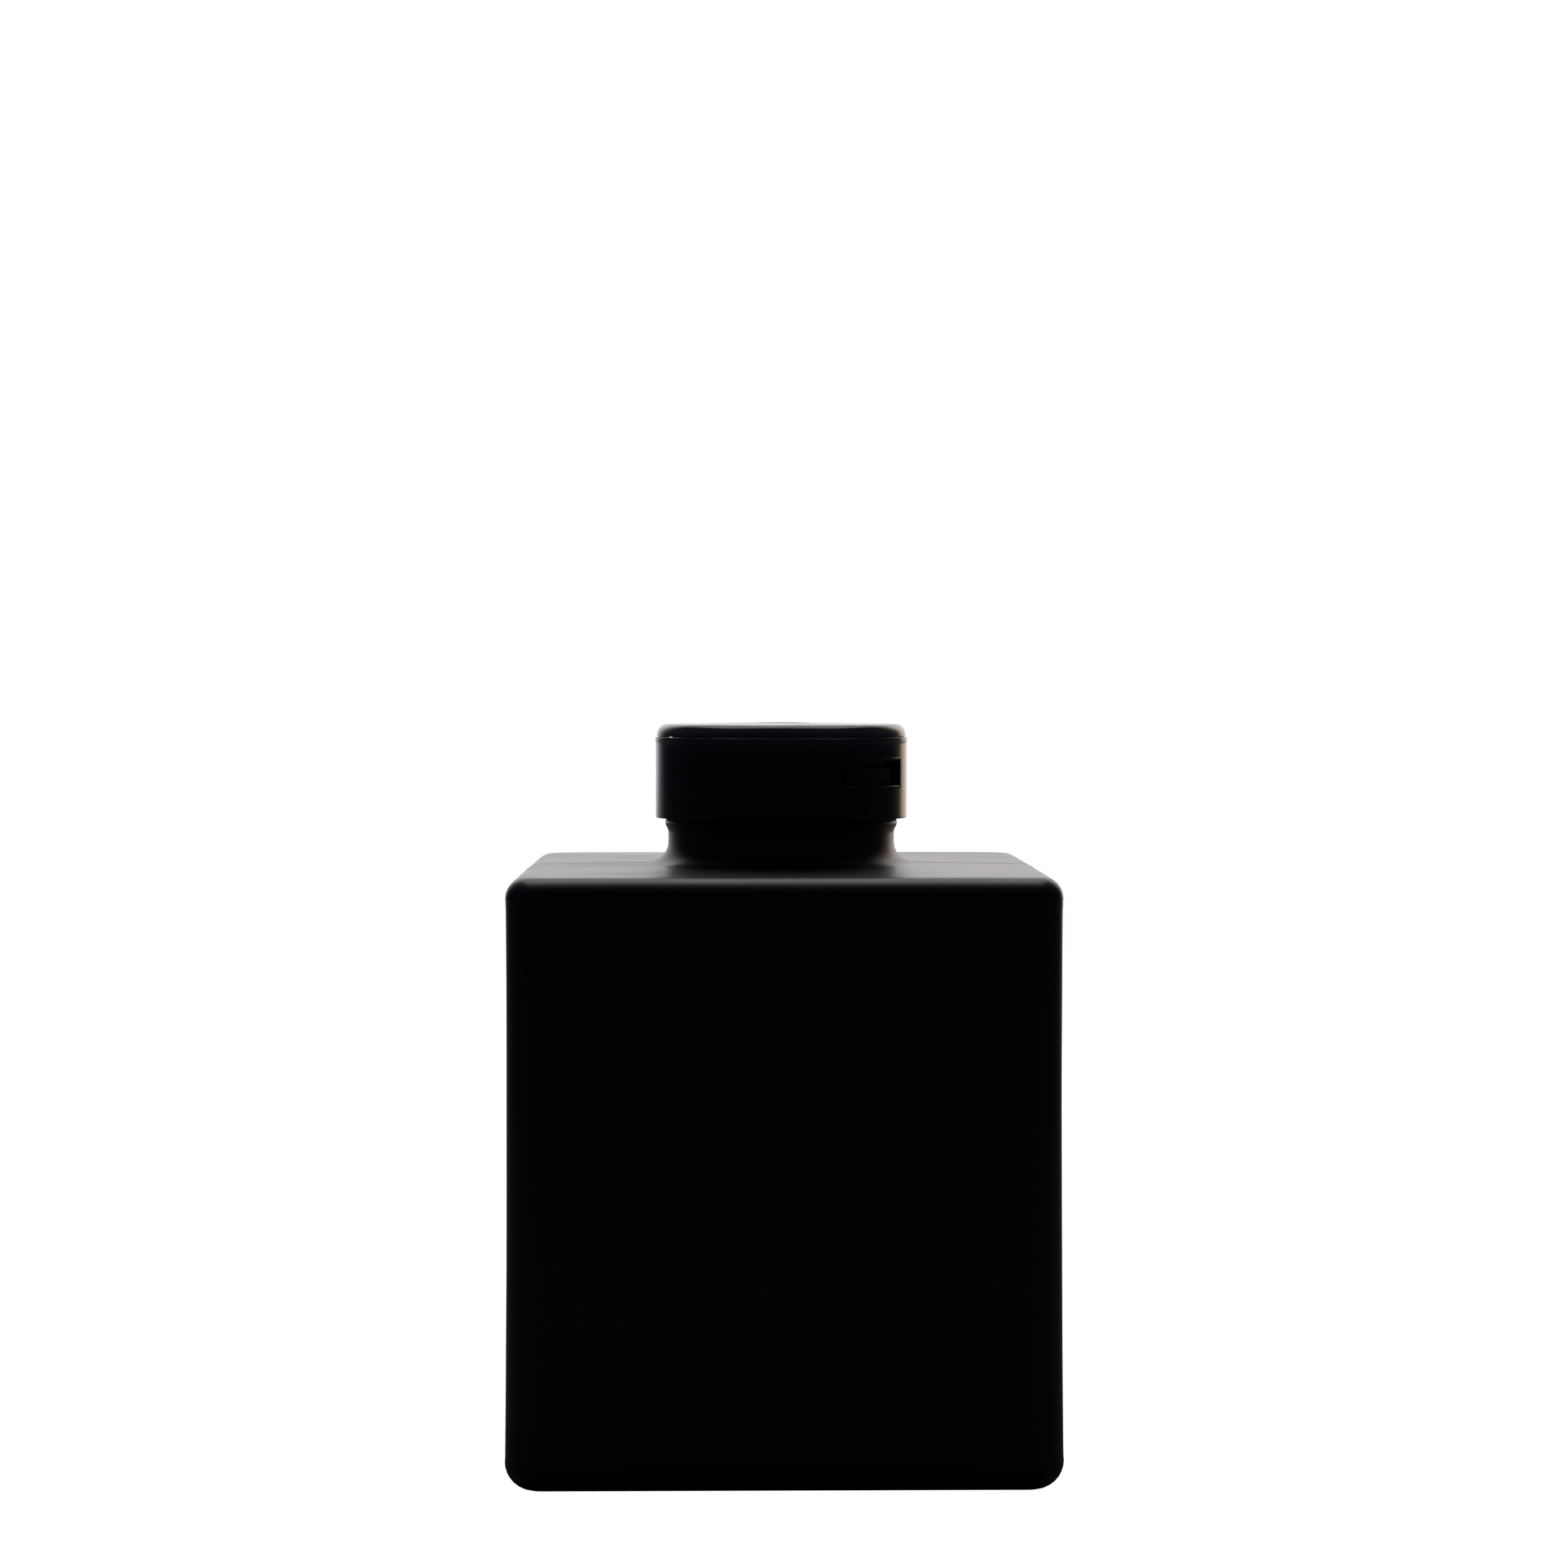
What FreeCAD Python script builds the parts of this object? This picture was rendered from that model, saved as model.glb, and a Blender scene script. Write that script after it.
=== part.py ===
import FreeCAD, Part
import os
import Sketcher
from FreeCAD import Placement, Rotation, Vector

# A squat square jar, blow-moulded in dark plastic, closed by a low round screw cap.
# The cap is a push-button flip-top: a lid on a pin, held shut by a latch behind a pad
# in a window of the skirt. Millimetres, +Z up, origin at the middle of the base, -Y is
# the jar's front. The cap's own pieces are drawn with the button facing -Y and are then
# turned about Z to where the cap stops when it is screwed tight.

DIAGONAL = 0.5 ** 0.5
TOUCH = 0.02

SIZES = {
    # how far cutters run past what they cut, and joined shapes into each other
    "overshoot": (1, "how far a cutting shape runs past its work"),
    "overlap": (0.1, "how far a joined shape runs into its neighbour"),
    # the jar's square body
    "base_width": (83.9, "across the flats just above the base edge"),
    "waist_width": (83.34, "across the flats half way up, where the sides draw in"),
    "shoulder_width": (83.7, "across the flats under the shoulder edge"),
    "waist_height": (46, "height of the narrowest section"),
    "plan_radius": (5.6, "rounding of the four upright edges"),
    "base_edge_radius": (4.2, "rounding round the base"),
    "shoulder_edge_radius": (3.2, "rounding round the shoulder"),
    "shoulder_height": (92.3, "where the shoulder's slope would meet the axis"),
    "shoulder_fall": (0.0165, "fall of the shoulder per millimetre outwards"),
    "jar_wall": (1.5, "wall of the jar"),
    "base_wall": (2, "wall of the base"),
    "pushup_depth": (1.2, "how far the middle of the base is pushed up"),
    "pushup_radius": (30, "radius of the push-up at its foot"),
    "pushup_slant": (3, "width of the push-up's sloping side"),
    # the jar's neck, a continuous-thread finish for a 33 mm closure
    "collar_radius": (18.07, "plain collar between shoulder and bead"),
    "neck_fillet": (3.4, "fillet from the shoulder into the collar"),
    "bead_radius": (18.6, "transfer bead under the cap"),
    "bead_foot": (97.1, "where the slope under the bead leaves the collar"),
    "bead_low": (98.2, "where that slope meets the bead's face"),
    "bead_top": (98.95, "top of the bead, the cap's stop"),
    "bead_fillet": (0.8, "fillet under the bead"),
    "finish_radius": (14.75, "neck between the thread turns"),
    "thread_radius": (15.95, "crest of the neck thread"),
    "bore_radius": (12.9, "mouth of the jar"),
    "collar_wall": (1.6, "wall of the collar"),
    "rim_height": (109.2, "top of the jar's rim"),
    "rim_rounding": (0.4, "rounding of the rim"),
    "thread_pitch": (4.233, "six turns to the inch"),
    "thread_turns": (1.25, "length of the thread"),
    "thread_low": (101.9, "height of the neck thread's lower end"),
    "crest_half": (0.5, "half width of a thread's crest"),
    "root_half": (1.2, "half width of a thread's root"),
    "thread_root_sink": (0.2, "how far a thread's root is sunk into its wall"),
    # the cap's skirt and deck
    "cap_angle": (47, "how far the button stands round from the jar's front"),
    "cap_low": (99.2, "lower edge of the cap"),
    "seam_height": (112.1, "top of the skirt, where the lid sits"),
    "skirt_radius": (20.15, "outside of the skirt"),
    "skirt_draft": (0.03, "how much narrower the skirt is at its foot"),
    "ledge_radius": (20.23, "small ledge round the top of the skirt"),
    "ledge_depth": (0.5, "height of that ledge"),
    "skirt_bore": (18.9, "inside of the outer skirt"),
    "inner_low": (99.5, "lower edge of the threaded inner skirt"),
    "inner_radius": (17, "outside of the inner skirt"),
    "cap_root_radius": (16.15, "inside of the inner skirt, between the turns"),
    "cap_crest_radius": (15.05, "crest of the cap's thread"),
    "thread_drop": (1.7, "how far the cap's thread runs below the neck's"),
    "deck_low": (109.8, "underside of the deck"),
    "deck_top": (111, "top of the deck"),
    "orifice_radius": (9, "pouring hole in the deck"),
    "lip_radius": (9.9, "outside of the raised lip round the hole"),
    "lip_top": (111.6, "top of that lip"),
    # the window in the skirt and its raised frame
    "window_half": (6.92, "half width of the window"),
    "window_low": (104.5, "sill of the window"),
    "window_top": (108.5, "head of the window"),
    "frame_radius": (20.35, "outside of the raised frame"),
    "frame_angle": (43.6, "angle that the frame takes up"),
    "frame_low": (104.05, "lower edge of the frame"),
    "frame_top": (108.95, "upper edge of the frame"),
    # the press button with its latch arm
    "pad_radius": (19.45, "face of the pad"),
    "pad_angle": (32.6, "angle that the pad takes up"),
    "pad_low": (104.7, "lower edge of the pad"),
    "pad_top": (107.7, "upper edge of the pad"),
    "pad_bevel": (0.3, "bevel round the pad's face"),
    "flange_back": (17.9, "back of the button's flange"),
    "flange_front": (18.75, "front of the button's flange"),
    "flange_angle": (44, "angle that the flange takes up"),
    "flange_low": (103.9, "lower edge of the flange"),
    "flange_top": (109, "upper edge of the flange"),
    "arm_half": (2.4, "half width of the latch arm"),
    "arm_back": (17.5, "back of the latch arm"),
    "arm_front": (17.95, "front of the latch arm"),
    "arm_root": (107.8, "where the arm starts on the flange"),
    "hook_reach": (18.42, "tip of the arm's hook"),
    "hook_low": (110.5, "catching face of the hook"),
    "hook_top": (111.1, "top of the arm"),
    "slot_half": (3, "half width of the slot in the deck"),
    "slot_back": (16.65, "back of the slot"),
    "slot_front": (19.2, "front of the slot, let into the skirt"),
    "slot_low": (107.5, "foot of the slot"),
    "arm_inset": (0.05, "how far the arm's root is sunk into the flange"),
    "hook_slope": (0.15, "rise of the hook's catching face towards its tip"),
    # the leaf spring behind the button
    "leaf_thick": (0.12, "thickness of the leaf"),
    "leaf_half": (4.4, "half length of the leaf"),
    "leaf_low": (105.1, "lower edge of the leaf"),
    "leaf_high": (107.1, "upper edge of the leaf"),
    "leaf_middle": (17.05, "back of the leaf at its middle"),
    "leaf_end": (17.2, "back of the leaf at its ends, from the cap's axis plane"),
    # the lid
    "lid_low": (112.2, "lower edge of the lid"),
    "lid_radius": (19.95, "outside of the lid"),
    "lid_bore": (18.65, "inside of the lid's rim"),
    "plate_low": (112.95, "underside of the lid's plate"),
    "lid_edge_top": (114.15, "top of the lid at its edge"),
    "lid_top": (114.38, "crown of the lid, by the dimple"),
    "lid_edge_radius": (1.7, "rounding of the lid's top edge"),
    "dimple_radius": (4.8, "dimple in the middle of the lid"),
    "dimple_floor_radius": (4.1, "flat floor of the dimple"),
    "dimple_depth": (0.32, "depth of the dimple"),
    "seat_inner": (10.6, "inside of the ring that holds the seal"),
    "seat_outer": (11.4, "outside of that ring"),
    "seat_low": (111.75, "lower edge of that ring"),
    "lid_flat": (18.6, "flat at the back of the lid"),
    "rim_gap_half": (7.4, "half width of the gap in the lid's rim"),
    "tongue_half": (2.6, "half width of the lid's catch"),
    "tongue_back": (18.55, "back of the catch"),
    "tongue_front": (19.05, "front of the catch"),
    "tongue_low": (109.7, "lower end of the catch"),
    "nose_reach": (18.1, "tip of the catch's nose"),
    "nose_top": (110.4, "catching face of the nose"),
    "nose_lead": (0.35, "lead-in bevel under the nose"),
    # the hinge
    "hinge_back": (18.3, "distance of the hinge axis behind the cap's axis"),
    "hinge_height": (111.7, "height of the hinge axis"),
    "knuckle_radius": (1, "outside of the ears and knuckles"),
    "pin_radius": (0.5, "hinge pin"),
    "pin_half": (5.15, "half length of the hinge pin"),
    "ear_bore": (0.51, "hole in the cap's ears, a tight fit"),
    "knuckle_bore": (0.55, "hole in the lid's knuckles, a running fit"),
    "ear_near": (3.7, "inner side of an ear"),
    "ear_far": (5.2, "outer side of an ear"),
    "knuckle_near": (2, "inner side of a knuckle"),
    "knuckle_far": (3.55, "outer side of a knuckle"),
    "notch_half": (8.4, "half width of the notch for the hinge"),
    "notch_front": (16.4, "front of the notch"),
    "notch_low": (110.4, "floor of the notch"),
    # the lid's torsion spring
    "wire_radius": (0.15, "spring wire"),
    "coil_radius": (0.78, "mean radius of the coil"),
    "coil_turns": (9.5, "turns of the coil, its ends on opposite sides"),
    "coil_half": (1.71, "half length of the coil"),
    "leg_length": (3.2, "length of each leg"),
    "leg_groove": (0.25, "half width of the groove or rib that a leg lies against"),
    "leg_rest": (15, "where that groove or rib ends, towards the cap's axis"),
    "leg_gap": (0.02, "room under and over the legs"),
    # the seals
    "liner_inner": (13, "hole in the liner"),
    "liner_outer": (16, "outside of the liner"),
    "seal_radius": (10.5, "outside of the lid's seal"),
    "plug_outer": (8.8, "outside of its plug ring"),
    "plug_inner": (7.9, "inside of its plug ring"),
    "plug_low": (110.6, "lower end of its plug ring"),
}

doc = FreeCAD.newDocument("square_jar")
sheet = doc.addObject("Spreadsheet::Sheet", "Size")
for row, (alias, (value, meaning)) in enumerate(SIZES.items(), start=1):
    sheet.set(f"A{row}", meaning)
    sheet.set(f"B{row}", str(value))
    sheet.setAlias(f"B{row}", alias)
doc.recompute()


def formula(text):
    """An expression on the sheet's cells, from words that are its aliases."""
    words = text.split()
    return " ".join(f"Size.{word}" if word in SIZES else word for word in words)


def number(text):
    """What such an expression is worth."""
    return float(sheet.evalExpression(formula(text)))


def plane(body, role):
    """One of a body's own origin planes."""
    return next(item for item in body.Origin.OriginFeatures if item.Role == role)


def sketch_on(body, name, role, lift="0"):
    """An empty sketch on one of the body's planes, or parallel to it at a distance."""
    sketch = body.newObject("Sketcher::SketchObject", name)
    sketch.AttachmentSupport = [(plane(body, role), "")]
    sketch.MapMode = "FlatFace"
    sketch.AttachmentOffset = Placement(Vector(0, 0, number(lift)), Rotation())
    sketch.setExpression("AttachmentOffset.Base.z", formula(lift))
    return sketch


def bind(sketch, kind, *where, size):
    """A dimension of a sketch, bound to the sheet."""
    index = sketch.addConstraint(Sketcher.Constraint(kind, *where, number(size)))
    sketch.setExpression(f"Constraints[{index}]", formula(size))


def outline(body, name, role, corners, lift="0"):
    """A closed outline of straight lines through corners given as pairs of formulas."""
    sketch = sketch_on(body, name, role, lift)
    spots = [Vector(number(across), number(up), 0) for across, up in corners]
    count = len(spots)
    for i in range(count):
        sketch.addGeometry(Part.LineSegment(spots[i], spots[(i + 1) % count]))
    for i in range(count):
        sketch.addConstraint(Sketcher.Constraint("Coincident", i, 2, (i + 1) % count, 1))
    for i, (across, up) in enumerate(corners):
        bind(sketch, "DistanceX", i, 1, size=across)
        bind(sketch, "DistanceY", i, 1, size=up)
    return sketch


def block(body, name, role, left, right, low, high, lift="0"):
    """A rectangle, as an outline."""
    corners = [(left, low), (right, low), (right, high), (left, high)]
    return outline(body, name, role, corners, lift)


def circle(body, name, role, across, up, radius, lift="0"):
    """A circle whose centre and radius are formulas."""
    sketch = sketch_on(body, name, role, lift)
    centre = Vector(number(across), number(up), 0)
    sketch.addGeometry(Part.Circle(centre, Vector(0, 0, 1), number(radius)))
    bind(sketch, "DistanceX", 0, 3, size=across)
    bind(sketch, "DistanceY", 0, 3, size=up)
    bind(sketch, "Radius", 0, size=radius)
    return sketch


def rounded_square(body, name, width, radius, lift):
    """A square with rounded corners about the origin, parallel to the base."""
    sketch = sketch_on(body, name, "XY_Plane", lift)
    half, corner = number(width) / 2, number(radius)
    inner = half - corner
    turns = [Rotation(Vector(0, 0, 1), 90 * i) for i in range(4)]
    for turn in turns:
        side = [turn.multVec(Vector(x, -half, 0)) for x in (-inner, inner)]
        arc = [turn.multVec(Vector(x, y, 0)) for x, y in
               ((inner, -half), (inner + corner * DIAGONAL, -inner - corner * DIAGONAL), (half, -inner))]
        sketch.addGeometry(Part.LineSegment(*side))
        sketch.addGeometry(Part.Arc(*arc))
    for i in range(8):
        sketch.addConstraint(Sketcher.Constraint("Tangent", i, 2, (i + 1) % 8, 1))
    for i in (0, 4):
        sketch.addConstraint(Sketcher.Constraint("Horizontal", i))
        sketch.addConstraint(Sketcher.Constraint("Vertical", i + 2))
    for i in (3, 5, 7):
        sketch.addConstraint(Sketcher.Constraint("Equal", 1, i))
    bind(sketch, "Radius", 1, size=radius)
    bind(sketch, "DistanceY", 0, 1, size=f"0 - ( {width} ) / 2")
    bind(sketch, "DistanceX", 2, 1, size=f"( {width} ) / 2")
    bind(sketch, "DistanceY", 4, 1, size=f"( {width} ) / 2")
    bind(sketch, "DistanceX", 6, 1, size=f"0 - ( {width} ) / 2")
    return sketch


def new_body(name):
    """A PartDesign body whose label names its piece."""
    body = doc.addObject("PartDesign::Body", name)
    body.Label = name
    return body


def loft(body, name, sections):
    """A smooth loft through sketches."""
    feature = body.newObject("PartDesign::AdditiveLoft", name)
    feature.Profile = sections[0]
    feature.Sections = sections[1:]
    return feature


def revolve(body, name, sketch, kind="Revolution", angle="360", both_ways=False):
    """A profile turned about the Z axis, added or, as a Groove, cut away."""
    feature = body.newObject(f"PartDesign::{kind}", name)
    feature.Profile = sketch
    feature.ReferenceAxis = (sketch, ["V_Axis"])
    feature.Midplane = both_ways
    feature.setExpression("Angle", formula(angle))
    return feature


def pad(body, name, sketch, length, both_ways=False, flipped=False):
    """A sketch given thickness, along its normal unless it is flipped."""
    feature = body.newObject("PartDesign::Pad", name)
    feature.Profile = sketch
    feature.Midplane = both_ways
    feature.Reversed = flipped
    feature.setExpression("Length", formula(length))
    return feature


def pocket(body, name, sketch, depth, both_ways=False, flipped=False):
    """A sketch cut into the body, against its normal unless it is flipped.

    A pocket that misses the body shows no error, so the volume has to fall.
    """
    doc.recompute()
    before = body.Shape.Volume
    feature = body.newObject("PartDesign::Pocket", name)
    feature.Profile = sketch
    feature.Midplane = both_ways
    feature.Reversed = flipped
    feature.setExpression("Length", formula(depth))
    doc.recompute()
    if not feature.Shape.Volume < before:
        raise RuntimeError(f"{body.Label}.{name} cuts nothing")
    return feature


def mirror(body, name, *features):
    """The same features again on the other side of the YZ plane."""
    feature = body.newObject("PartDesign::Mirrored", name)
    feature.Originals = list(features)
    feature.MirrorPlane = (plane(body, "YZ_Plane"), [""])
    body.Tip = feature
    doc.recompute()
    return feature


def thread(body, name, sketch, turns="thread_turns"):
    """A profile swept up a right-hand helix about the Z axis."""
    feature = body.newObject("PartDesign::AdditiveHelix", name)
    feature.Profile = sketch
    feature.ReferenceAxis = (sketch, ["V_Axis"])
    feature.Mode = "pitch-height-angle"
    feature.setExpression("Pitch", formula("thread_pitch"))
    feature.setExpression("Height", formula(f"thread_pitch * {turns}"))
    return feature


def round_edges(body, name, radius, chosen):
    """A fillet on every edge whose ends and middle all pass the test."""
    doc.recompute()
    names = []
    for i, edge in enumerate(body.Shape.Edges, start=1):
        first, last = edge.ParameterRange
        spots = [edge.valueAt(first + (last - first) * share) for share in (0, 0.5, 1)]
        if all(chosen(spot) for spot in spots):
            names.append(f"Edge{i}")
    if not names:
        raise RuntimeError(f"{body.Label}.{name} finds no edge")
    base = body.Tip
    feature = body.newObject("PartDesign::Fillet", name)
    feature.Base = (base, names)
    feature.setExpression("Radius", formula(radius))
    doc.recompute()
    return feature


def ring_at(radius, height):
    """A test for edges that lie on one circle about the Z axis."""
    r, z = number(radius), number(height)
    return lambda spot: abs((spot.x ** 2 + spot.y ** 2) ** 0.5 - r) < TOUCH and abs(spot.z - z) < TOUCH


def square_form(body, inset, floor, edge_inset):
    """The jar's square body, or with a wall's inset the space inside it."""
    inside = f"- 2 * {inset}"
    corner = f"plan_radius - {inset}"
    sections = [
        rounded_square(body, "foot_section", f"base_width {inside}", corner, floor),
        rounded_square(body, "waist_section", f"waist_width {inside}", corner, "waist_height"),
        rounded_square(body, "top_section", f"shoulder_width {inside}", corner, "shoulder_height"),
    ]
    loft(body, "square_form", sections)
    top = f"shoulder_height - {inset}"
    reach = "base_width"
    slope = outline(body, "shoulder_slope", "XZ_Plane", [
        ("0", top),
        (reach, f"{top} - shoulder_fall * {reach}"),
        (reach, "shoulder_height + overshoot"),
        ("0", "shoulder_height + overshoot"),
    ])
    revolve(body, "sloping_shoulder", slope, kind="Groove")
    level = number("shoulder_height") - number("shoulder_edge_radius")
    foot = number(floor)
    side = number("waist_width") / 2 - number("plan_radius") - number("jar_wall")
    round_edges(body, "shoulder_rounding", f"shoulder_edge_radius - {edge_inset}",
                lambda spot: spot.z > level and max(abs(spot.x), abs(spot.y)) > side)
    round_edges(body, "base_rounding", f"base_edge_radius - {edge_inset}",
                lambda spot: abs(spot.z - foot) < TOUCH and max(abs(spot.x), abs(spot.y)) > side)


def push_up(body, level):
    """The shallow hollow under the base, or its top side inside the jar."""
    shape = outline(body, "push_up_section", "XZ_Plane", [
        ("0", f"{level} - overshoot"),
        ("pushup_radius", f"{level} - overshoot"),
        ("pushup_radius", level),
        ("pushup_radius - pushup_slant", f"{level} + pushup_depth"),
        ("0", f"{level} + pushup_depth"),
    ])
    revolve(body, "push_up", shape, kind="Groove")


def jar_outside():
    """The jar as a solid block: square body, collar, bead, threaded finish."""
    body = new_body("jar_outside")
    square_form(body, "0", "0", "0")
    push_up(body, "0")
    neck = outline(body, "neck_section", "XZ_Plane", [
        ("0", "shoulder_height - neck_fillet"),
        ("collar_radius", "shoulder_height - neck_fillet"),
        ("collar_radius", "bead_foot"),
        ("bead_radius", "bead_low"),
        ("bead_radius", "bead_top"),
        ("finish_radius", "bead_top"),
        ("finish_radius", "rim_height"),
        ("0", "rim_height"),
    ])
    revolve(body, "neck", neck)
    foot = "shoulder_height - shoulder_fall * collar_radius"
    round_edges(body, "neck_foot", "neck_fillet", ring_at("collar_radius", foot))
    round_edges(body, "under_bead", "bead_fillet", ring_at("collar_radius", "bead_foot"))
    round_edges(body, "bead_edge", "rim_rounding", ring_at("bead_radius", "bead_low"))
    round_edges(body, "bead_top_edge", "rim_rounding", ring_at("bead_radius", "bead_top"))
    round_edges(body, "rim_edge", "rim_rounding", ring_at("finish_radius", "rim_height"))
    ridge = outline(body, "thread_section", "XZ_Plane", [
        ("finish_radius - thread_root_sink", "thread_low - root_half"),
        ("thread_radius", "thread_low - crest_half"),
        ("thread_radius", "thread_low + crest_half"),
        ("finish_radius - thread_root_sink", "thread_low + root_half"),
    ])
    thread(body, "neck_thread", ridge)
    return body


def jar_inside():
    """The space inside the jar, out through the mouth."""
    body = new_body("jar_inside")
    square_form(body, "jar_wall", "base_wall", "jar_wall")
    push_up(body, "base_wall")
    bore = outline(body, "bore_section", "XZ_Plane", [
        ("0", "shoulder_height - 2 * jar_wall"),
        ("collar_radius - collar_wall", "shoulder_height - 2 * jar_wall"),
        ("collar_radius - collar_wall", "bead_low - jar_wall"),
        ("bore_radius", "bead_top"),
        ("bore_radius", "rim_height + overshoot"),
        ("0", "rim_height + overshoot"),
    ])
    revolve(body, "bore", bore)
    return body


def jar_body():
    """The jar itself, one hollow blow-moulding."""
    outside, inside = jar_outside(), jar_inside()
    jar = doc.addObject("Part::Cut", "jar_body")
    jar.Label = "jar_body"
    jar.Base = outside
    jar.Tool = inside
    return jar


def cap_base():
    """The screw cap: outer skirt, threaded inner skirt, deck, window, slot and hinge ears."""
    body = new_body("cap_base")
    foot_radius = "skirt_radius - skirt_draft"
    shell = outline(body, "shell_section", "XZ_Plane", [
        (foot_radius, "cap_low"),
        ("skirt_radius", "seam_height - 2 * ledge_depth"),
        ("ledge_radius", "seam_height - ledge_depth"),
        ("ledge_radius", "seam_height"),
        ("skirt_bore", "seam_height"),
        ("skirt_bore", "deck_top"),
        ("lip_radius", "deck_top"),
        ("lip_radius", "lip_top"),
        ("orifice_radius", "lip_top"),
        ("orifice_radius", "deck_low"),
        ("cap_root_radius", "deck_low"),
        ("cap_root_radius", "inner_low"),
        ("inner_radius", "inner_low"),
        ("inner_radius", "deck_low"),
        ("skirt_bore", "deck_low"),
        ("skirt_bore", "cap_low"),
    ])
    revolve(body, "shell", shell)
    frame = block(body, "frame_section", "YZ_Plane", "0 - frame_radius", "0.5 - skirt_radius",
                  "frame_low", "frame_top")
    revolve(body, "window_frame", frame, angle="frame_angle", both_ways=True)
    opening = block(body, "window_outline", "XZ_Plane", "0 - window_half", "window_half",
                    "window_low", "window_top", lift="inner_radius + overlap")
    pocket(body, "window", opening, "4", flipped=True)
    slot = block(body, "slot_outline", "XY_Plane", "0 - slot_half", "slot_half",
                 "0 - slot_front", "0 - slot_back", lift="seam_height + overshoot")
    pocket(body, "latch_slot", slot, "seam_height + overshoot - slot_low")
    notch = block(body, "notch_outline", "XY_Plane", "0 - notch_half", "notch_half",
                  "notch_front", "skirt_radius + overshoot", lift="seam_height + overshoot")
    pocket(body, "hinge_notch", notch, "seam_height + overshoot - notch_low")
    groove = block(body, "groove_outline", "XY_Plane", "0 - coil_half - leg_groove",
                   "leg_groove - coil_half", "leg_rest - overlap", "notch_front + overlap", lift="deck_top")
    pocket(body, "spring_groove", groove,
           "deck_top - hinge_height + coil_radius + wire_radius + leg_gap")
    hinge_ears(body)
    low = "thread_low - thread_drop + thread_pitch * cap_angle / 360"
    ridge = outline(body, "thread_section", "XZ_Plane", [
        ("cap_root_radius + thread_root_sink", f"{low} - root_half"),
        ("cap_root_radius + thread_root_sink", f"{low} + root_half"),
        ("cap_crest_radius", f"{low} + crest_half"),
        ("cap_crest_radius", f"{low} - crest_half"),
    ])
    thread(body, "cap_thread", ridge)
    return body


def hinge_ears(body):
    """The two ears of the cap that hold the ends of the hinge pin."""
    width = "ear_far - ear_near"
    web = block(body, "ear_web_outline", "YZ_Plane", "hinge_back - knuckle_radius",
                "hinge_back + knuckle_radius", "notch_low - overlap", "hinge_height", lift="ear_near")
    ear_web = pad(body, "ear_web", web, width)
    disc = circle(body, "ear_outline", "YZ_Plane", "hinge_back", "hinge_height",
                  "knuckle_radius", lift="ear_near")
    ear = pad(body, "ear", disc, width)
    doc.recompute()
    mirror(body, "other_ear", ear_web, ear)
    hole = circle(body, "ear_hole_outline", "YZ_Plane", "hinge_back", "hinge_height", "ear_bore")
    pocket(body, "ear_hole", hole, "3 * ear_far", both_ways=True)


def lid():
    """The flip lid: rounded plate and rim, seal seat, knuckles and the catch at its front."""
    body = new_body("lid")
    section = outline(body, "lid_section", "XZ_Plane", [
        ("0", "plate_low"),
        ("seat_inner", "plate_low"),
        ("seat_inner", "seat_low"),
        ("seat_outer", "seat_low"),
        ("seat_outer", "plate_low"),
        ("lid_bore", "plate_low"),
        ("lid_bore", "lid_low"),
        ("lid_radius", "lid_low"),
        ("lid_radius", "lid_edge_top"),
        ("dimple_radius", "lid_top"),
        ("dimple_floor_radius", "lid_top - dimple_depth"),
        ("0", "lid_top - dimple_depth"),
    ])
    revolve(body, "lid_form", section)
    round_edges(body, "top_edge", "lid_edge_radius", ring_at("lid_radius", "lid_edge_top"))
    flat = block(body, "flat_outline", "XY_Plane", "0 - lid_radius", "lid_radius",
                 "lid_flat", "lid_radius + overshoot", lift="lid_top + overshoot")
    pocket(body, "back_flat", flat, "5")
    gap = block(body, "rim_gap_outline", "XY_Plane", "0 - rim_gap_half", "rim_gap_half",
                "notch_front", "lid_radius + overshoot", lift="plate_low")
    pocket(body, "rim_gap", gap, "3")
    lid_knuckles(body)
    catch = outline(body, "catch_outline", "YZ_Plane", [
        ("0 - tongue_front", "plate_low + overlap"),
        ("0 - tongue_front", "tongue_low"),
        ("0 - tongue_back", "tongue_low"),
        ("0 - nose_reach", "tongue_low + nose_lead"),
        ("0 - nose_reach", "nose_top"),
        ("0 - tongue_back", "nose_top"),
        ("0 - tongue_back", "plate_low + overlap"),
    ])
    pad(body, "catch", catch, "2 * tongue_half", both_ways=True)
    rib = block(body, "rib_outline", "XY_Plane", "coil_half - leg_groove", "coil_half + leg_groove",
                "leg_rest", "notch_front", lift="hinge_height + coil_radius + wire_radius + leg_gap")
    pad(body, "spring_rib", rib, "plate_low + overlap - hinge_height - coil_radius - wire_radius - leg_gap")
    return body


def lid_knuckles(body):
    """The lid's two knuckles, which turn on the hinge pin between the cap's ears."""
    width = "knuckle_far - knuckle_near"
    web = block(body, "knuckle_web_outline", "YZ_Plane", "hinge_back - knuckle_radius",
                "lid_flat", "hinge_height", "plate_low + overlap", lift="knuckle_near")
    knuckle_web = pad(body, "knuckle_web", web, width)
    disc = circle(body, "knuckle_outline", "YZ_Plane", "hinge_back", "hinge_height",
                  "knuckle_radius", lift="knuckle_near")
    knuckle = pad(body, "knuckle", disc, width)
    doc.recompute()
    mirror(body, "other_knuckle", knuckle_web, knuckle)
    hole = circle(body, "knuckle_hole_outline", "YZ_Plane", "hinge_back", "hinge_height",
                  "knuckle_bore")
    pocket(body, "knuckle_hole", hole, "3 * knuckle_far", both_ways=True)


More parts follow.
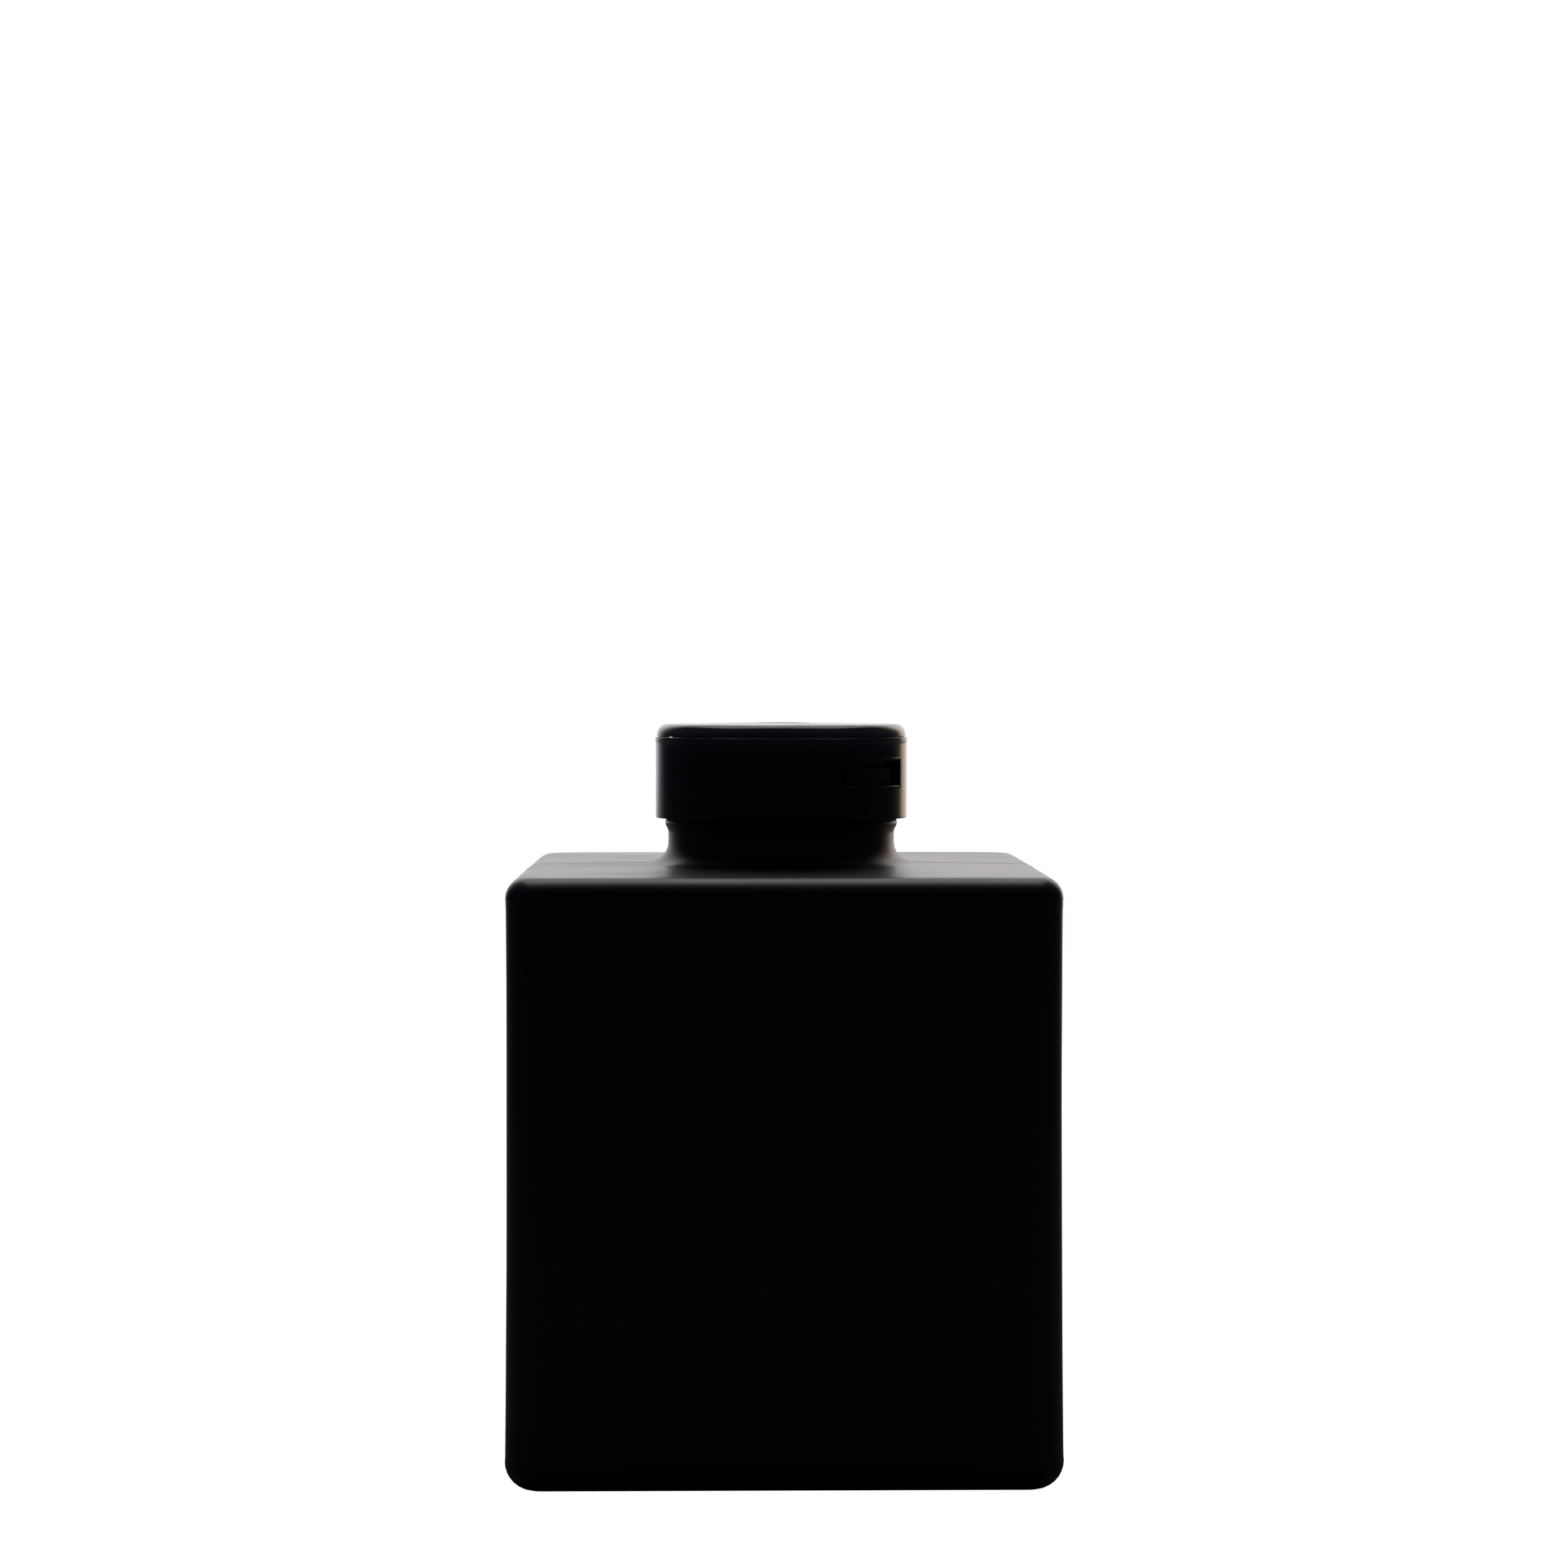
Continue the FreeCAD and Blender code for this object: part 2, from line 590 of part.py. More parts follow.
def lid_seal():
    """The soft seal in the lid: a disc that lies on the lip and a plug ring inside it."""
    body = new_body("lid_seal")
    section = outline(body, "seal_section", "XZ_Plane", [
        ("0", "lip_top"),
        ("plug_inner", "lip_top"),
        ("plug_inner", "plug_low"),
        ("plug_outer", "plug_low"),
        ("plug_outer", "lip_top"),
        ("seal_radius", "lip_top"),
        ("seal_radius", "plate_low"),
        ("0", "plate_low"),
    ])
    revolve(body, "seal", section)
    return body


def hinge_pin():
    """The steel pin of the hinge."""
    body = new_body("hinge_pin")
    section = circle(body, "pin_outline", "YZ_Plane", "hinge_back", "hinge_height", "pin_radius")
    pad(body, "pin", section, "2 * pin_half", both_ways=True)
    return body


def lid_spring():
    """The torsion spring round the pin: a close coil with one leg on the deck, one on the lid.

    It is drawn with its coil about Z and laid along the hinge axis by its placement.
    """
    body = new_body("lid_spring")
    wire = circle(body, "wire_outline", "XZ_Plane", "coil_radius", "0 - coil_half", "wire_radius")
    coil = body.newObject("PartDesign::AdditiveHelix", "coil")
    coil.Profile = wire
    coil.ReferenceAxis = (wire, ["V_Axis"])
    coil.Mode = "pitch-height-angle"
    coil.setExpression("Pitch", formula("2 * coil_half / coil_turns"))
    coil.setExpression("Height", formula("2 * coil_half"))
    legs = {"deck_leg": ("coil_radius", "0 - coil_half"), "lid_leg": ("0 - coil_radius", "coil_half")}
    for name, (across, up) in legs.items():
        end = circle(body, f"{name}_outline", "XZ_Plane", across, up, "wire_radius")
        pad(body, name, end, "leg_length")
    return body


def press_button():
    """The button: a pad in the window, a flange behind it and the latch arm above."""
    body = new_body("press_button")
    flange = block(body, "flange_section", "YZ_Plane", "0 - flange_front", "0 - flange_back",
                   "flange_low", "flange_top")
    revolve(body, "flange", flange, angle="flange_angle", both_ways=True)
    face = outline(body, "pad_section", "YZ_Plane", [
        ("0 - flange_back", "pad_low"),
        ("pad_bevel - pad_radius", "pad_low"),
        ("0 - pad_radius", "pad_low + pad_bevel"),
        ("0 - pad_radius", "pad_top - pad_bevel"),
        ("pad_bevel - pad_radius", "pad_top"),
        ("0 - flange_back", "pad_top"),
    ])
    revolve(body, "pad_face", face, angle="pad_angle", both_ways=True)
    arm = outline(body, "arm_outline", "YZ_Plane", [
        ("0 - arm_back", "arm_root"),
        ("0 - flange_front + arm_inset", "arm_root"),
        ("0 - flange_front + arm_inset", "flange_top - arm_inset"),
        ("0 - arm_front", "flange_top - arm_inset"),
        ("0 - arm_front", "hook_low"),
        ("0 - hook_reach", "hook_low"),
        ("0 - hook_reach", "hook_low + hook_slope"),
        ("0 - arm_front", "hook_top"),
        ("0 - arm_back", "hook_top"),
    ])
    pad(body, "latch_arm", arm, "2 * arm_half", both_ways=True)
    return body


def button_spring():
    """The bowed leaf between the inner skirt and the button's flange."""
    body = new_body("button_spring")
    sketch = sketch_on(body, "leaf_outline", "XY_Plane", "leaf_low")
    half, thick = number("leaf_half"), number("leaf_thick")
    middle, end = number("leaf_middle"), number("leaf_end")
    for step in (0, thick):
        ends = [Vector(x, -end - step, 0) for x in (-half, half)]
        sketch.addGeometry(Part.Arc(ends[0], Vector(0, -middle - step, 0), ends[1]))
    sketch.addGeometry(Part.LineSegment(Vector(-half, -end, 0), Vector(-half, -end - thick, 0)))
    sketch.addGeometry(Part.LineSegment(Vector(half, -end, 0), Vector(half, -end - thick, 0)))
    pad(body, "leaf", sketch, "leaf_high - leaf_low")
    return body


def cap_liner():
    """The sealing wad between the jar's rim and the cap's deck."""
    body = new_body("cap_liner")
    section = block(body, "liner_section", "XZ_Plane", "liner_inner", "liner_outer",
                    "rim_height", "deck_low")
    revolve(body, "liner", section)
    return body


pieces = [jar_body(), cap_liner()]
cap_pieces = [cap_base(), lid(), lid_seal(), hinge_pin(), press_button(), button_spring()]
spring = lid_spring()
doc.recompute()

for piece in cap_pieces:
    piece.Placement = Placement(Vector(), Rotation(Vector(0, 0, 1), number("cap_angle")))
    piece.setExpression("Placement.Rotation.Angle", formula("cap_angle"))
along_hinge = Placement(Vector(0, number("hinge_back"), number("hinge_height")),
                        Rotation(Vector(0, 1, 0), 90))
spring.Placement = cap_pieces[0].Placement.multiply(along_hinge)
pieces += cap_pieces + [spring]
doc.recompute()

for item in doc.Objects:
    if {"Invalid", "Error"} & set(item.State):
        raise RuntimeError(f"{item.Label} failed: {item.State}")
os.makedirs("parts", exist_ok=True)
for piece in pieces:
    if piece.Shape.isNull() or not piece.Shape.isValid():
        raise RuntimeError(f"{piece.Label} has no valid shape")
    piece.Shape.exportStep(f"parts/{piece.Label}.step")
    box = piece.Shape.BoundBox
    print(f"{piece.Label}: {len(piece.Shape.Solids)} solid, {piece.Shape.Volume:.2f} mm3, "
          f"z {box.ZMin:.2f} to {box.ZMax:.2f}")
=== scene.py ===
# %% [markdown]
# # A square jar with a push-button flip-top cap
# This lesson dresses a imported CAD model. The CAD says where everything is and how it
# moves; here the same pieces get smooth skins, small roundings and moulded finishes.
# Everything is drawn in millimetres in the CAD's own frame and turned to metres at the end.

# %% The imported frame
import math

import bmesh
import bpy
import numpy as np
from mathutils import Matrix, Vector, noise


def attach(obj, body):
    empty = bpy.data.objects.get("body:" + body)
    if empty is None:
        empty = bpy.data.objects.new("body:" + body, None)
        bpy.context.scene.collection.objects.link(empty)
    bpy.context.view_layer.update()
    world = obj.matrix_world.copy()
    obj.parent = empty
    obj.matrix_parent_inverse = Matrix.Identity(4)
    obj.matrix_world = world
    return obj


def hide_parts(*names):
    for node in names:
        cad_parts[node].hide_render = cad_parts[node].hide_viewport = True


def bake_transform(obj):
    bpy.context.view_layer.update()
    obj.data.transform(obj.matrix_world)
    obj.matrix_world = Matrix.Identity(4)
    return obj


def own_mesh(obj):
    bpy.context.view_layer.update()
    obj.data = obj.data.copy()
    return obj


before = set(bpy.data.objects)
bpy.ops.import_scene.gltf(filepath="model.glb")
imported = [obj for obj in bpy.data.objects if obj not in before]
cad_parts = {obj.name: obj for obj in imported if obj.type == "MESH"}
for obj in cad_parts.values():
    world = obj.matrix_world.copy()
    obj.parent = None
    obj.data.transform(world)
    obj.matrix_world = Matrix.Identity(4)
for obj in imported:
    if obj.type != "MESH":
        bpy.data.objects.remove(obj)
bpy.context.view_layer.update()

MM = 0.001

# %% [markdown]
# ## Where the cap's pieces are drawn
# The jar stands square to the axes, but the cap was screwed on until it stopped, so its
# button faces 47 degrees round from the front. Each of its pieces is drawn with the button
# facing -Y, where the sums are easy, and is turned as a whole once it is finished.

# %% Directions of the cap
CAP_ANGLE = math.radians(47)
HINGE_BACK, HINGE_HEIGHT = 18.3, 111.7


def turned(points):
    """Points in millimetres, turned from the drawing position to where the cap stopped."""
    c, s = math.cos(CAP_ANGLE), math.sin(CAP_ANGLE)
    return np.asarray(points, float) @ np.array([[c, s, 0], [-s, c, 0], [0, 0, 1]])


def frame_point(x, y, z):
    """A point of the cap's drawing as a point of the frame, in metres."""
    return tuple(turned([(x, y, z)])[0] * MM)


print("the hinge lies at", [round(float(v), 4) for v in frame_point(0, HINGE_BACK, HINGE_HEIGHT)])

# %% [markdown]
# ## Meshes from points
# A mould maker thinks in sections. So do these helpers: a shape is a stack of rings with
# the same number of points, and a net of four-sided faces joins each ring to the next. That
# gives even faces, which shade without creases. Sculpting or a subdivided box would also
# work, but neither would hold the sizes as well.


# %% Making a mesh object
def piece_from(name, points, faces, is_turned=False):
    """A mesh object from points in millimetres, with its faces made to look outwards."""
    points = turned(points) if is_turned else np.asarray(points, float)
    mesh = bpy.data.meshes.new(name)
    mesh.from_pydata((points * MM).tolist(), [], faces)
    form = bmesh.new()
    form.from_mesh(mesh)
    if form.calc_volume(signed=True) < 0:
        bmesh.ops.reverse_faces(form, faces=form.faces)
    form.to_mesh(mesh)
    form.free()
    mesh.shade_smooth()
    piece = bpy.data.objects.new(name, mesh)
    bpy.context.scene.collection.objects.link(piece)
    return piece


def net(rings, closed=False, flat_ends=False, is_open=lambda row, column: False):
    """Points and faces of a net over rings, where rings[row][column] is a point.

    The last ring is joined to the first if it is closed; otherwise both ends are filled,
    with one face if they are flat and else with a fan about a point in the middle.
    """
    rings = np.asarray(rings, float)
    rows, columns = rings.shape[:2]
    points = rings.reshape(-1, 3).tolist()
    faces = []
    for row in range(rows if closed else rows - 1):
        above = (row + 1) % rows
        for column in range(columns):
            after = (column + 1) % columns
            if not is_open(row, column):
                faces.append((row * columns + column, row * columns + after,
                              above * columns + after, above * columns + column))
    if flat_ends:
        faces += [tuple(range(columns))[::-1], tuple(range((rows - 1) * columns, rows * columns))]
    elif not closed:
        for row in (0, rows - 1):
            middle = len(points)
            points.append(rings[row].mean(axis=0).tolist())
            for column in range(columns):
                pair = [row * columns + column, row * columns + (column + 1) % columns]
                faces.append((*(pair if row else pair[::-1]), middle))
    return points, faces


# %% Rounding a section's corners
def soften(corners, closed=False, steps=4):
    """A section's corners (across, up, radius) as points, with each corner rounded.

    A short step is left beside each rounding, so that the flat next to it shades flat.
    """
    count = len(corners)
    found = []
    for i, (x, y, radius) in enumerate(corners):
        here = np.array([x, y], float)
        if radius <= 0 or (not closed and i in (0, count - 1)):
            found.append(here)
            continue
        before = np.array(corners[i - 1][:2], float) - here
        after = np.array(corners[(i + 1) % count][:2], float) - here
        a, b = before / np.linalg.norm(before), after / np.linalg.norm(after)
        half = math.acos(max(-1, min(1, float(a @ b)))) / 2
        reach = radius / math.tan(half)
        centre = here + (a + b) / np.linalg.norm(a + b) * radius / math.sin(half)
        first, last = here + a * reach - centre, here + b * reach - centre
        sweep = math.pi - 2 * half
        room = [np.linalg.norm(side) * 0.5 for side in (before, after)]
        if reach * 1.5 < room[0]:
            found.append(here + a * reach * 1.5)
        for k in range(steps + 1):
            along, left = math.sin(k / steps * sweep), math.sin((1 - k / steps) * sweep)
            found.append(centre + (first * left + last * along) / math.sin(sweep))
        if reach * 1.5 < room[1]:
            found.append(here + b * reach * 1.5)
    return [tuple(point) for point in found]


def lathe(section, angles):
    """Rings of a section (radius, height) turned about the Z axis, one ring a point."""
    return [[(r * math.sin(a), -r * math.cos(a), z) for a in angles] for r, z in section]


FULL_TURN = [math.radians(2 * k) for k in range(180)]
print("a softened corner has", len(soften([(0, 0, 0), (5, 0, 1), (5, 5, 0)])), "points")

# %% [markdown]
# ## The jar's sections
# The jar is blown: a hot tube of plastic is closed in a square mould and swelled against its
# walls. So its sides draw in slightly as they cool, its edges are all round, and the two
# mould halves leave a fine parting line up the middle of two sides and over the shoulder.
# A column of the net keeps its place from the base to the rim. It starts on the rounded
# square and ends on the round neck, and on the shoulder it passes from one to the other.

# %% Columns of the jar's net
FLAT_SHARES = [0, 0.0032, 0.0066, 0.014, 0.05, 0.11, 0.18, 0.25, 0.32, 0.39, 0.46, 0.53,
               0.6, 0.67, 0.74, 0.81, 0.87, 0.92, 0.96, 0.985]
ARC_SHARES = [k / 16 for k in range(17)]
ARC_START = 36


def four_times(quarter):
    """Points of a quarter repeated round the axis."""
    x, y = np.array(quarter, float).T
    return np.concatenate([np.stack(pair, axis=1) for pair in ((x, y), (-y, x), (-x, -y), (y, -x))])


def rounded_square(half, corner):
    """A rounded square's points, starting at the middle of the side that faces +X."""
    flat = half - corner
    side = [(half, share * flat) for share in FLAT_SHARES]
    arc = [(flat + corner * math.cos(share * math.pi / 2), flat + corner * math.sin(share * math.pi / 2))
           for share in ARC_SHARES]
    return four_times(side + arc + [(y, x) for x, y in side[:0:-1]])


def round_outline():
    """The same columns on a circle of radius 1."""
    side = [share * ARC_START for share in FLAT_SHARES]
    arc = [ARC_START + share * (90 - 2 * ARC_START) for share in ARC_SHARES]
    angles = np.radians(side + arc + [90 - angle for angle in side[:0:-1]])
    return four_times(np.stack([np.cos(angles), np.sin(angles)], axis=1))


CIRCLE = round_outline()
print("the jar's net has", len(CIRCLE), "columns")


# %% Heights of the body's sides and shoulder
SHOULDER_HEIGHT, SHOULDER_FALL = 92.3, 0.0165
WAIST_HEIGHT = 46
HALF_WIDTHS = (41.95, 41.67, 41.85)
NECK_FOOT = 21.47


def half_width(z):
    """Half the body's width: a smooth curve through the foot, the waist and the shoulder."""
    share = z / (2 * WAIST_HEIGHT)
    foot, waist, top = HALF_WIDTHS
    return (foot * (1 - share) * (1 - 2 * share) + waist * 4 * share * (1 - share)
            + top * share * (2 * share - 1))


def shoulder_at(spots, drop=0.0):
    """Height of the shoulder at spots: four faint slopes that meet in soft diagonals."""
    reach = np.hypot(*spots.T)
    hipped = (np.abs(spots) ** 8).sum(axis=1) ** (1 / 8)
    share = np.clip((reach - NECK_FOOT) / (36 - NECK_FOOT), 0, 1)
    share = share * share * (3 - 2 * share)
    return SHOULDER_HEIGHT - drop - SHOULDER_FALL * (reach * (1 - share) + hipped * share)


def level(spots, height):
    """A ring at one height, or at each column's own height."""
    return np.column_stack([spots, np.broadcast_to(height, len(spots))])


def between(square, radius, share):
    """Spots part of the way from a square ring to a circle, column by column."""
    reach = np.hypot(*square.T)
    angle, aim = np.arctan2(*square.T[::-1]), np.arctan2(*CIRCLE.T[::-1])
    swing = (aim - angle + math.pi) % (2 * math.pi) - math.pi
    ease = share * share * (3 - 2 * share)
    angle, reach = angle + swing * ease, reach * (1 - share) + radius * share
    return np.stack([reach * np.cos(angle), reach * np.sin(angle)], axis=1)


print("width at the waist:", round(2 * half_width(WAIST_HEIGHT), 2), "mm")

# %% [markdown]
# ## The jar's skin
# The outside runs from the middle of the base, round the base edge, up the sides, over the
# shoulder and up the neck to the rim, and the inside goes back down a wall's thickness
# within it. One closed net is both, so the mouth and the wall are real.


# %% One side of the wall as rings
def rings_of_side(inset, floor, push_up):
    """Rings from the middle of the base to the foot of the neck, a wall's inset within."""
    base_edge, shoulder_edge, corner = 4.2 - inset, 3.2 - inset, 5.6 - inset
    rings = [level(CIRCLE * r, z + floor) for r, z in soften(
        [(1.5, push_up, 0), (27, push_up, 0.8), (30, 0, 0.8), (31.5, 0, 0)], steps=3)]
    rings[1:1] = [level(CIRCLE * r, push_up + floor) for r in (5, 10, 15, 20, 24)]
    foot = rounded_square(half_width(0) - inset - base_edge, corner - base_edge)
    rings += [level(between(foot, 31.5, 1 - k / 8), floor) for k in range(1, 9)]
    for k in range(1, 9):
        turn = math.radians(90 * k / 8)
        gone = base_edge * (1 - math.sin(turn))
        rings.append(level(rounded_square(half_width(0) - inset - gone, corner - gone),
                           floor + base_edge * (1 - math.cos(turn))))
    for z in np.concatenate([[4.9, 6.3], np.linspace(9, 84, 22), [86, 88]]):
        rings.append(level(rounded_square(half_width(z) - inset, corner), z))
    last = math.pi / 2 - math.atan(SHOULDER_FALL)
    top = half_width(SHOULDER_HEIGHT) - inset
    gone = shoulder_edge * (1 - math.cos(last))
    middle = shoulder_at(rounded_square(top - gone, corner - gone), inset) - shoulder_edge * math.sin(last)
    for k in range(13):
        turn = last * k / 12
        gone = shoulder_edge * (1 - math.cos(turn))
        rings.append(level(rounded_square(top - gone, corner - gone),
                           middle + shoulder_edge * math.sin(turn)))
    edge = rounded_square(top - gone, corner - gone)
    for k in range(1, 21):
        spots = between(edge, NECK_FOOT - inset, (k / 20) ** 0.9)
        rings.append(level(spots, shoulder_at(spots, inset)))
    return rings


# %% The neck's section, outside and in
def neck_section():
    """(radius, height) from the foot of the neck, over the bead and the rim, down the bore."""
    outside = soften([(NECK_FOOT, 91.946, 0), (18.07, 92.0, 3.3), (18.07, 97.1, 1.2), (18.6, 98.2, 0.6),
                      (18.6, 98.95, 0.34), (14.75, 98.95, 0.5), (14.75, 109.2, 0.4), (12.9, 109.2, 0.35),
                      (12.9, 98.95, 1), (16.47, 96.45, 1), (16.47, 90.6, 1.2), (20, 90.46, 0)], steps=6)
    return outside[1:-1]


outer = rings_of_side(0, 0, 1.2)
inner = rings_of_side(1.5, 2, 1.2)
neck = [level(CIRCLE * r, z) for r, z in neck_section()]
jar_rings = np.array(outer + neck + inner[::-1])
print("the jar's net has", len(jar_rings), "rings of", jar_rings.shape[1])

# %% [markdown]
# ## Marks of the mould
# Cooling plastic never lies dead flat, so the sides get waves of a few hundredths of a
# millimetre, which is what makes a reflection on them wander. The parting line is a ridge
# no thicker than a hair. Both move points of the net, so they are in the mesh itself.


# %% Waves and the parting line
def marked_by_mould(rings, outside_rows):
    """The same rings, with the outside moved along its normals by waves and the ridge."""
    along = np.roll(rings, -1, axis=1) - np.roll(rings, 1, axis=1)
    up = np.gradient(rings, axis=0)
    normal = np.cross(along, up)
    normal /= np.linalg.norm(normal, axis=2, keepdims=True) + 1e-9
    moved = rings.copy()
    for row in range(outside_rows):
        for column in range(rings.shape[1]):
            x, y, z = rings[row, column]
            is_side = max(abs(x), abs(y)) > 40.5 and 4 < z < 87.5
            wave = 0.035 * noise.noise(Vector((x, y, z)) * 0.045) if is_side else 0.0
            ridge = 0.05 * max(0.0, 1 - (y / 0.2) ** 2) if 4 < z < 98.9 else 0.0
            moved[row, column] += normal[row, column] * (wave + ridge)
    return moved


jar_shell = piece_from("jar_shell", *net(marked_by_mould(jar_rings, len(outer) + 20)))
print("the jar's skin:", len(jar_shell.data.polygons), "faces")

# %% [markdown]
# ## Threads
# A thread is one section carried up a helix, so its shape follows a rule and Geometry Nodes
# suit it: the Spiral node gives the path, and Curve to Mesh sweeps a flat-topped ridge along
# it. The ridge thins out at both ends, as a moulded thread does where it starts and stops.
# The same tree makes the neck's thread and, turned inwards, the cap's.


# %% A node tree with named inputs
def new_tree(name, inputs):
    """A geometry node tree with number inputs; it returns the tree and its input node."""
    tree = bpy.data.node_groups.new(name, "GeometryNodeTree")
    tree.interface.new_socket("Geometry", in_out="OUTPUT", socket_type="NodeSocketGeometry")
    for label, value in inputs.items():
        kind = "NodeSocketInt" if isinstance(value, int) else "NodeSocketFloat"
        socket = tree.interface.new_socket(label, in_out="INPUT", socket_type=kind)
        socket.default_value = value
    return tree, tree.nodes.new("NodeGroupInput")


def step(tree, kind, settings=None, inputs=None):
    """A node of that type, with its settings, then its sockets' values or links."""
    made = tree.nodes.new(kind)
    for key, value in (settings or {}).items():
        setattr(made, key, value)
    for key, value in (inputs or {}).items():
        if isinstance(value, bpy.types.NodeSocket):
            tree.links.new(value, made.inputs[key])
        else:
            made.inputs[key].default_value = value
    return made


def finish_tree(tree, geometry):
    """Ends a tree as the export needs it: instances realised and a material slot set."""
    real = step(tree, "GeometryNodeRealizeInstances", inputs={"Geometry": geometry})
    coat = step(tree, "GeometryNodeSetMaterial", inputs={"Geometry": real.outputs[0]})
    end = tree.nodes.new("NodeGroupOutput")
    tree.links.new(coat.outputs[0], end.inputs[0])


def grown(name, tree, values):
    """Runs a tree with these values and keeps its result as a plain mesh."""
    seed = bpy.data.objects.new("seed", bpy.data.meshes.new("seed"))
    bpy.context.scene.collection.objects.link(seed)
    modifier = seed.modifiers.new("tree", "NODES")
    modifier.node_group = tree
    for item in tree.interface.items_tree:
        if item.in_out == "INPUT" and item.name in values:
            modifier[item.identifier] = values[item.name]
    shown = seed.evaluated_get(bpy.context.evaluated_depsgraph_get())
    mesh = bpy.data.meshes.new_from_object(shown)
    bpy.data.objects.remove(seed)
    mesh.name = name
    return mesh


# %% The thread's tree
def thread_tree():
    """A ridge of flat-topped section up a right-hand helix, thinned out at its ends."""
    tree, given = new_tree("thread", {
        "Turns": 1.25, "Radius": 15.25 * MM, "Pitch": 4.233 * MM, "Start height": 101.9 * MM,
        "Inner width": 2.4 * MM, "Outer width": 1.0 * MM, "Depth": 1.4 * MM, "Run-out": 0.09})
    size = given.outputs
    rise = step(tree, "ShaderNodeMath", {"operation": "MULTIPLY"},
                {0: size["Turns"], 1: size["Pitch"]})
    path = step(tree, "GeometryNodeCurveSpiral", inputs={
        "Resolution": 120, "Rotations": size["Turns"], "Start Radius": size["Radius"],
        "End Radius": size["Radius"], "Height": rise.outputs[0], "Reverse": True})
    lift = step(tree, "ShaderNodeCombineXYZ", inputs={"Z": size["Start height"]})
    placed = step(tree, "GeometryNodeTransform", inputs={
        "Geometry": path.outputs[0], "Translation": lift.outputs[0]})
    along = step(tree, "GeometryNodeSplineParameter").outputs["Factor"]
    away = step(tree, "ShaderNodeMath", {"operation": "SUBTRACT"}, {0: 1.0, 1: along})
    nearest = step(tree, "ShaderNodeMath", {"operation": "MINIMUM"}, {0: along, 1: away.outputs[0]})
    fade = step(tree, "ShaderNodeMapRange", {"interpolation_type": "SMOOTHSTEP"}, {
        "Value": nearest.outputs[0], "From Min": -0.01, "From Max": size["Run-out"], "To Min": 0.02})
    upright = step(tree, "GeometryNodeSetCurveNormal", {"mode": "Z_UP"}, {"Curve": placed.outputs[0]})
    ridge = step(tree, "GeometryNodeCurvePrimitiveQuadrilateral", {"mode": "TRAPEZOID"}, {
        "Height": size["Depth"], "Bottom Width": size["Inner width"], "Top Width": size["Outer width"],
        "Offset": 0.0})
    on_side = step(tree, "GeometryNodeTransform", inputs={
        "Geometry": ridge.outputs[0], "Rotation": (0, 0, math.radians(-90))})
    swept = step(tree, "GeometryNodeCurveToMesh", inputs={
        "Curve": upright.outputs[0], "Profile Curve": on_side.outputs[0],
        "Scale": fade.outputs[0], "Fill Caps": True})
    finish_tree(tree, swept.outputs[0])
    return tree


THREAD = thread_tree()


def thread_piece(name, values, is_turned=False):
    """A thread as its own closed ridge, its root sunk in the wall that carries it."""
    mesh = grown(name, THREAD, values)
    points = np.array([v.co for v in mesh.vertices]) / MM
    return piece_from(name, points, [tuple(face.vertices) for face in mesh.polygons], is_turned)


neck_thread = thread_piece("neck_thread", {})

# %% [markdown]
# ## The cap
# The cap is injection-moulded, so its walls are even and its edges nearly sharp. One closed
# section gives it the outer skirt, the deck with its pouring lip, and the inner skirt that
# grips the neck. Cutting a window into a mesh with a boolean leaves long thin faces that
# shade badly on a round wall, so the window's edges are columns and rows of the net here:
# the faces between them are left out, and the hole's own walls join the two sides.

# %% The window's place
SKIRT = 20.14
WINDOW_LOW, WINDOW_TOP, WINDOW_TURN = 104.5, 108.5, math.degrees(math.asin(6.92 / 20.15))
FRAME_LOW, FRAME_TOP, FRAME_TURN = 104.05, 108.95, 21.8
FRAME_PROUD, FRAME_RAMP, EDGE_BREAK = 0.2, 0.12, 0.07
FINE_TURNS = [WINDOW_TURN, WINDOW_TURN + 0.22, FRAME_TURN - 0.36, FRAME_TURN - 0.18, FRAME_TURN,
              FRAME_TURN + 0.3]
FINE_ROWS = [FRAME_LOW - 0.1, FRAME_LOW, FRAME_LOW + 0.06, FRAME_LOW + 0.12, WINDOW_LOW - 0.07,
             WINDOW_LOW, WINDOW_TOP, WINDOW_TOP + 0.07, FRAME_TOP - 0.12, FRAME_TOP - 0.06, FRAME_TOP,
             FRAME_TOP + 0.1]


def cap_columns():
    """Angles of the cap's columns from the button's middle, close together at the window."""
    coarse = [2 * k for k in range(-90, 90) if min(abs(abs(2 * k) - t) for t in FINE_TURNS) > 0.5]
    return np.sort(np.concatenate([coarse, FINE_TURNS, [-t for t in FINE_TURNS]]))


def proud(turn, z):
    """How far the window's raised frame stands out of the skirt at a spot."""
    depth = min(math.radians(FRAME_TURN - abs(turn)) * SKIRT, z - FRAME_LOW, FRAME_TOP - z)
    share = max(0.0, min(1.0, depth / FRAME_RAMP))
    rise = FRAME_PROUD * share * share * (3 - 2 * share)
    beside = max(math.radians(abs(turn) - WINDOW_TURN) * SKIRT, WINDOW_LOW - z, z - WINDOW_TOP)
    return rise - EDGE_BREAK * (1 - beside / EDGE_BREAK) if beside < EDGE_BREAK else rise


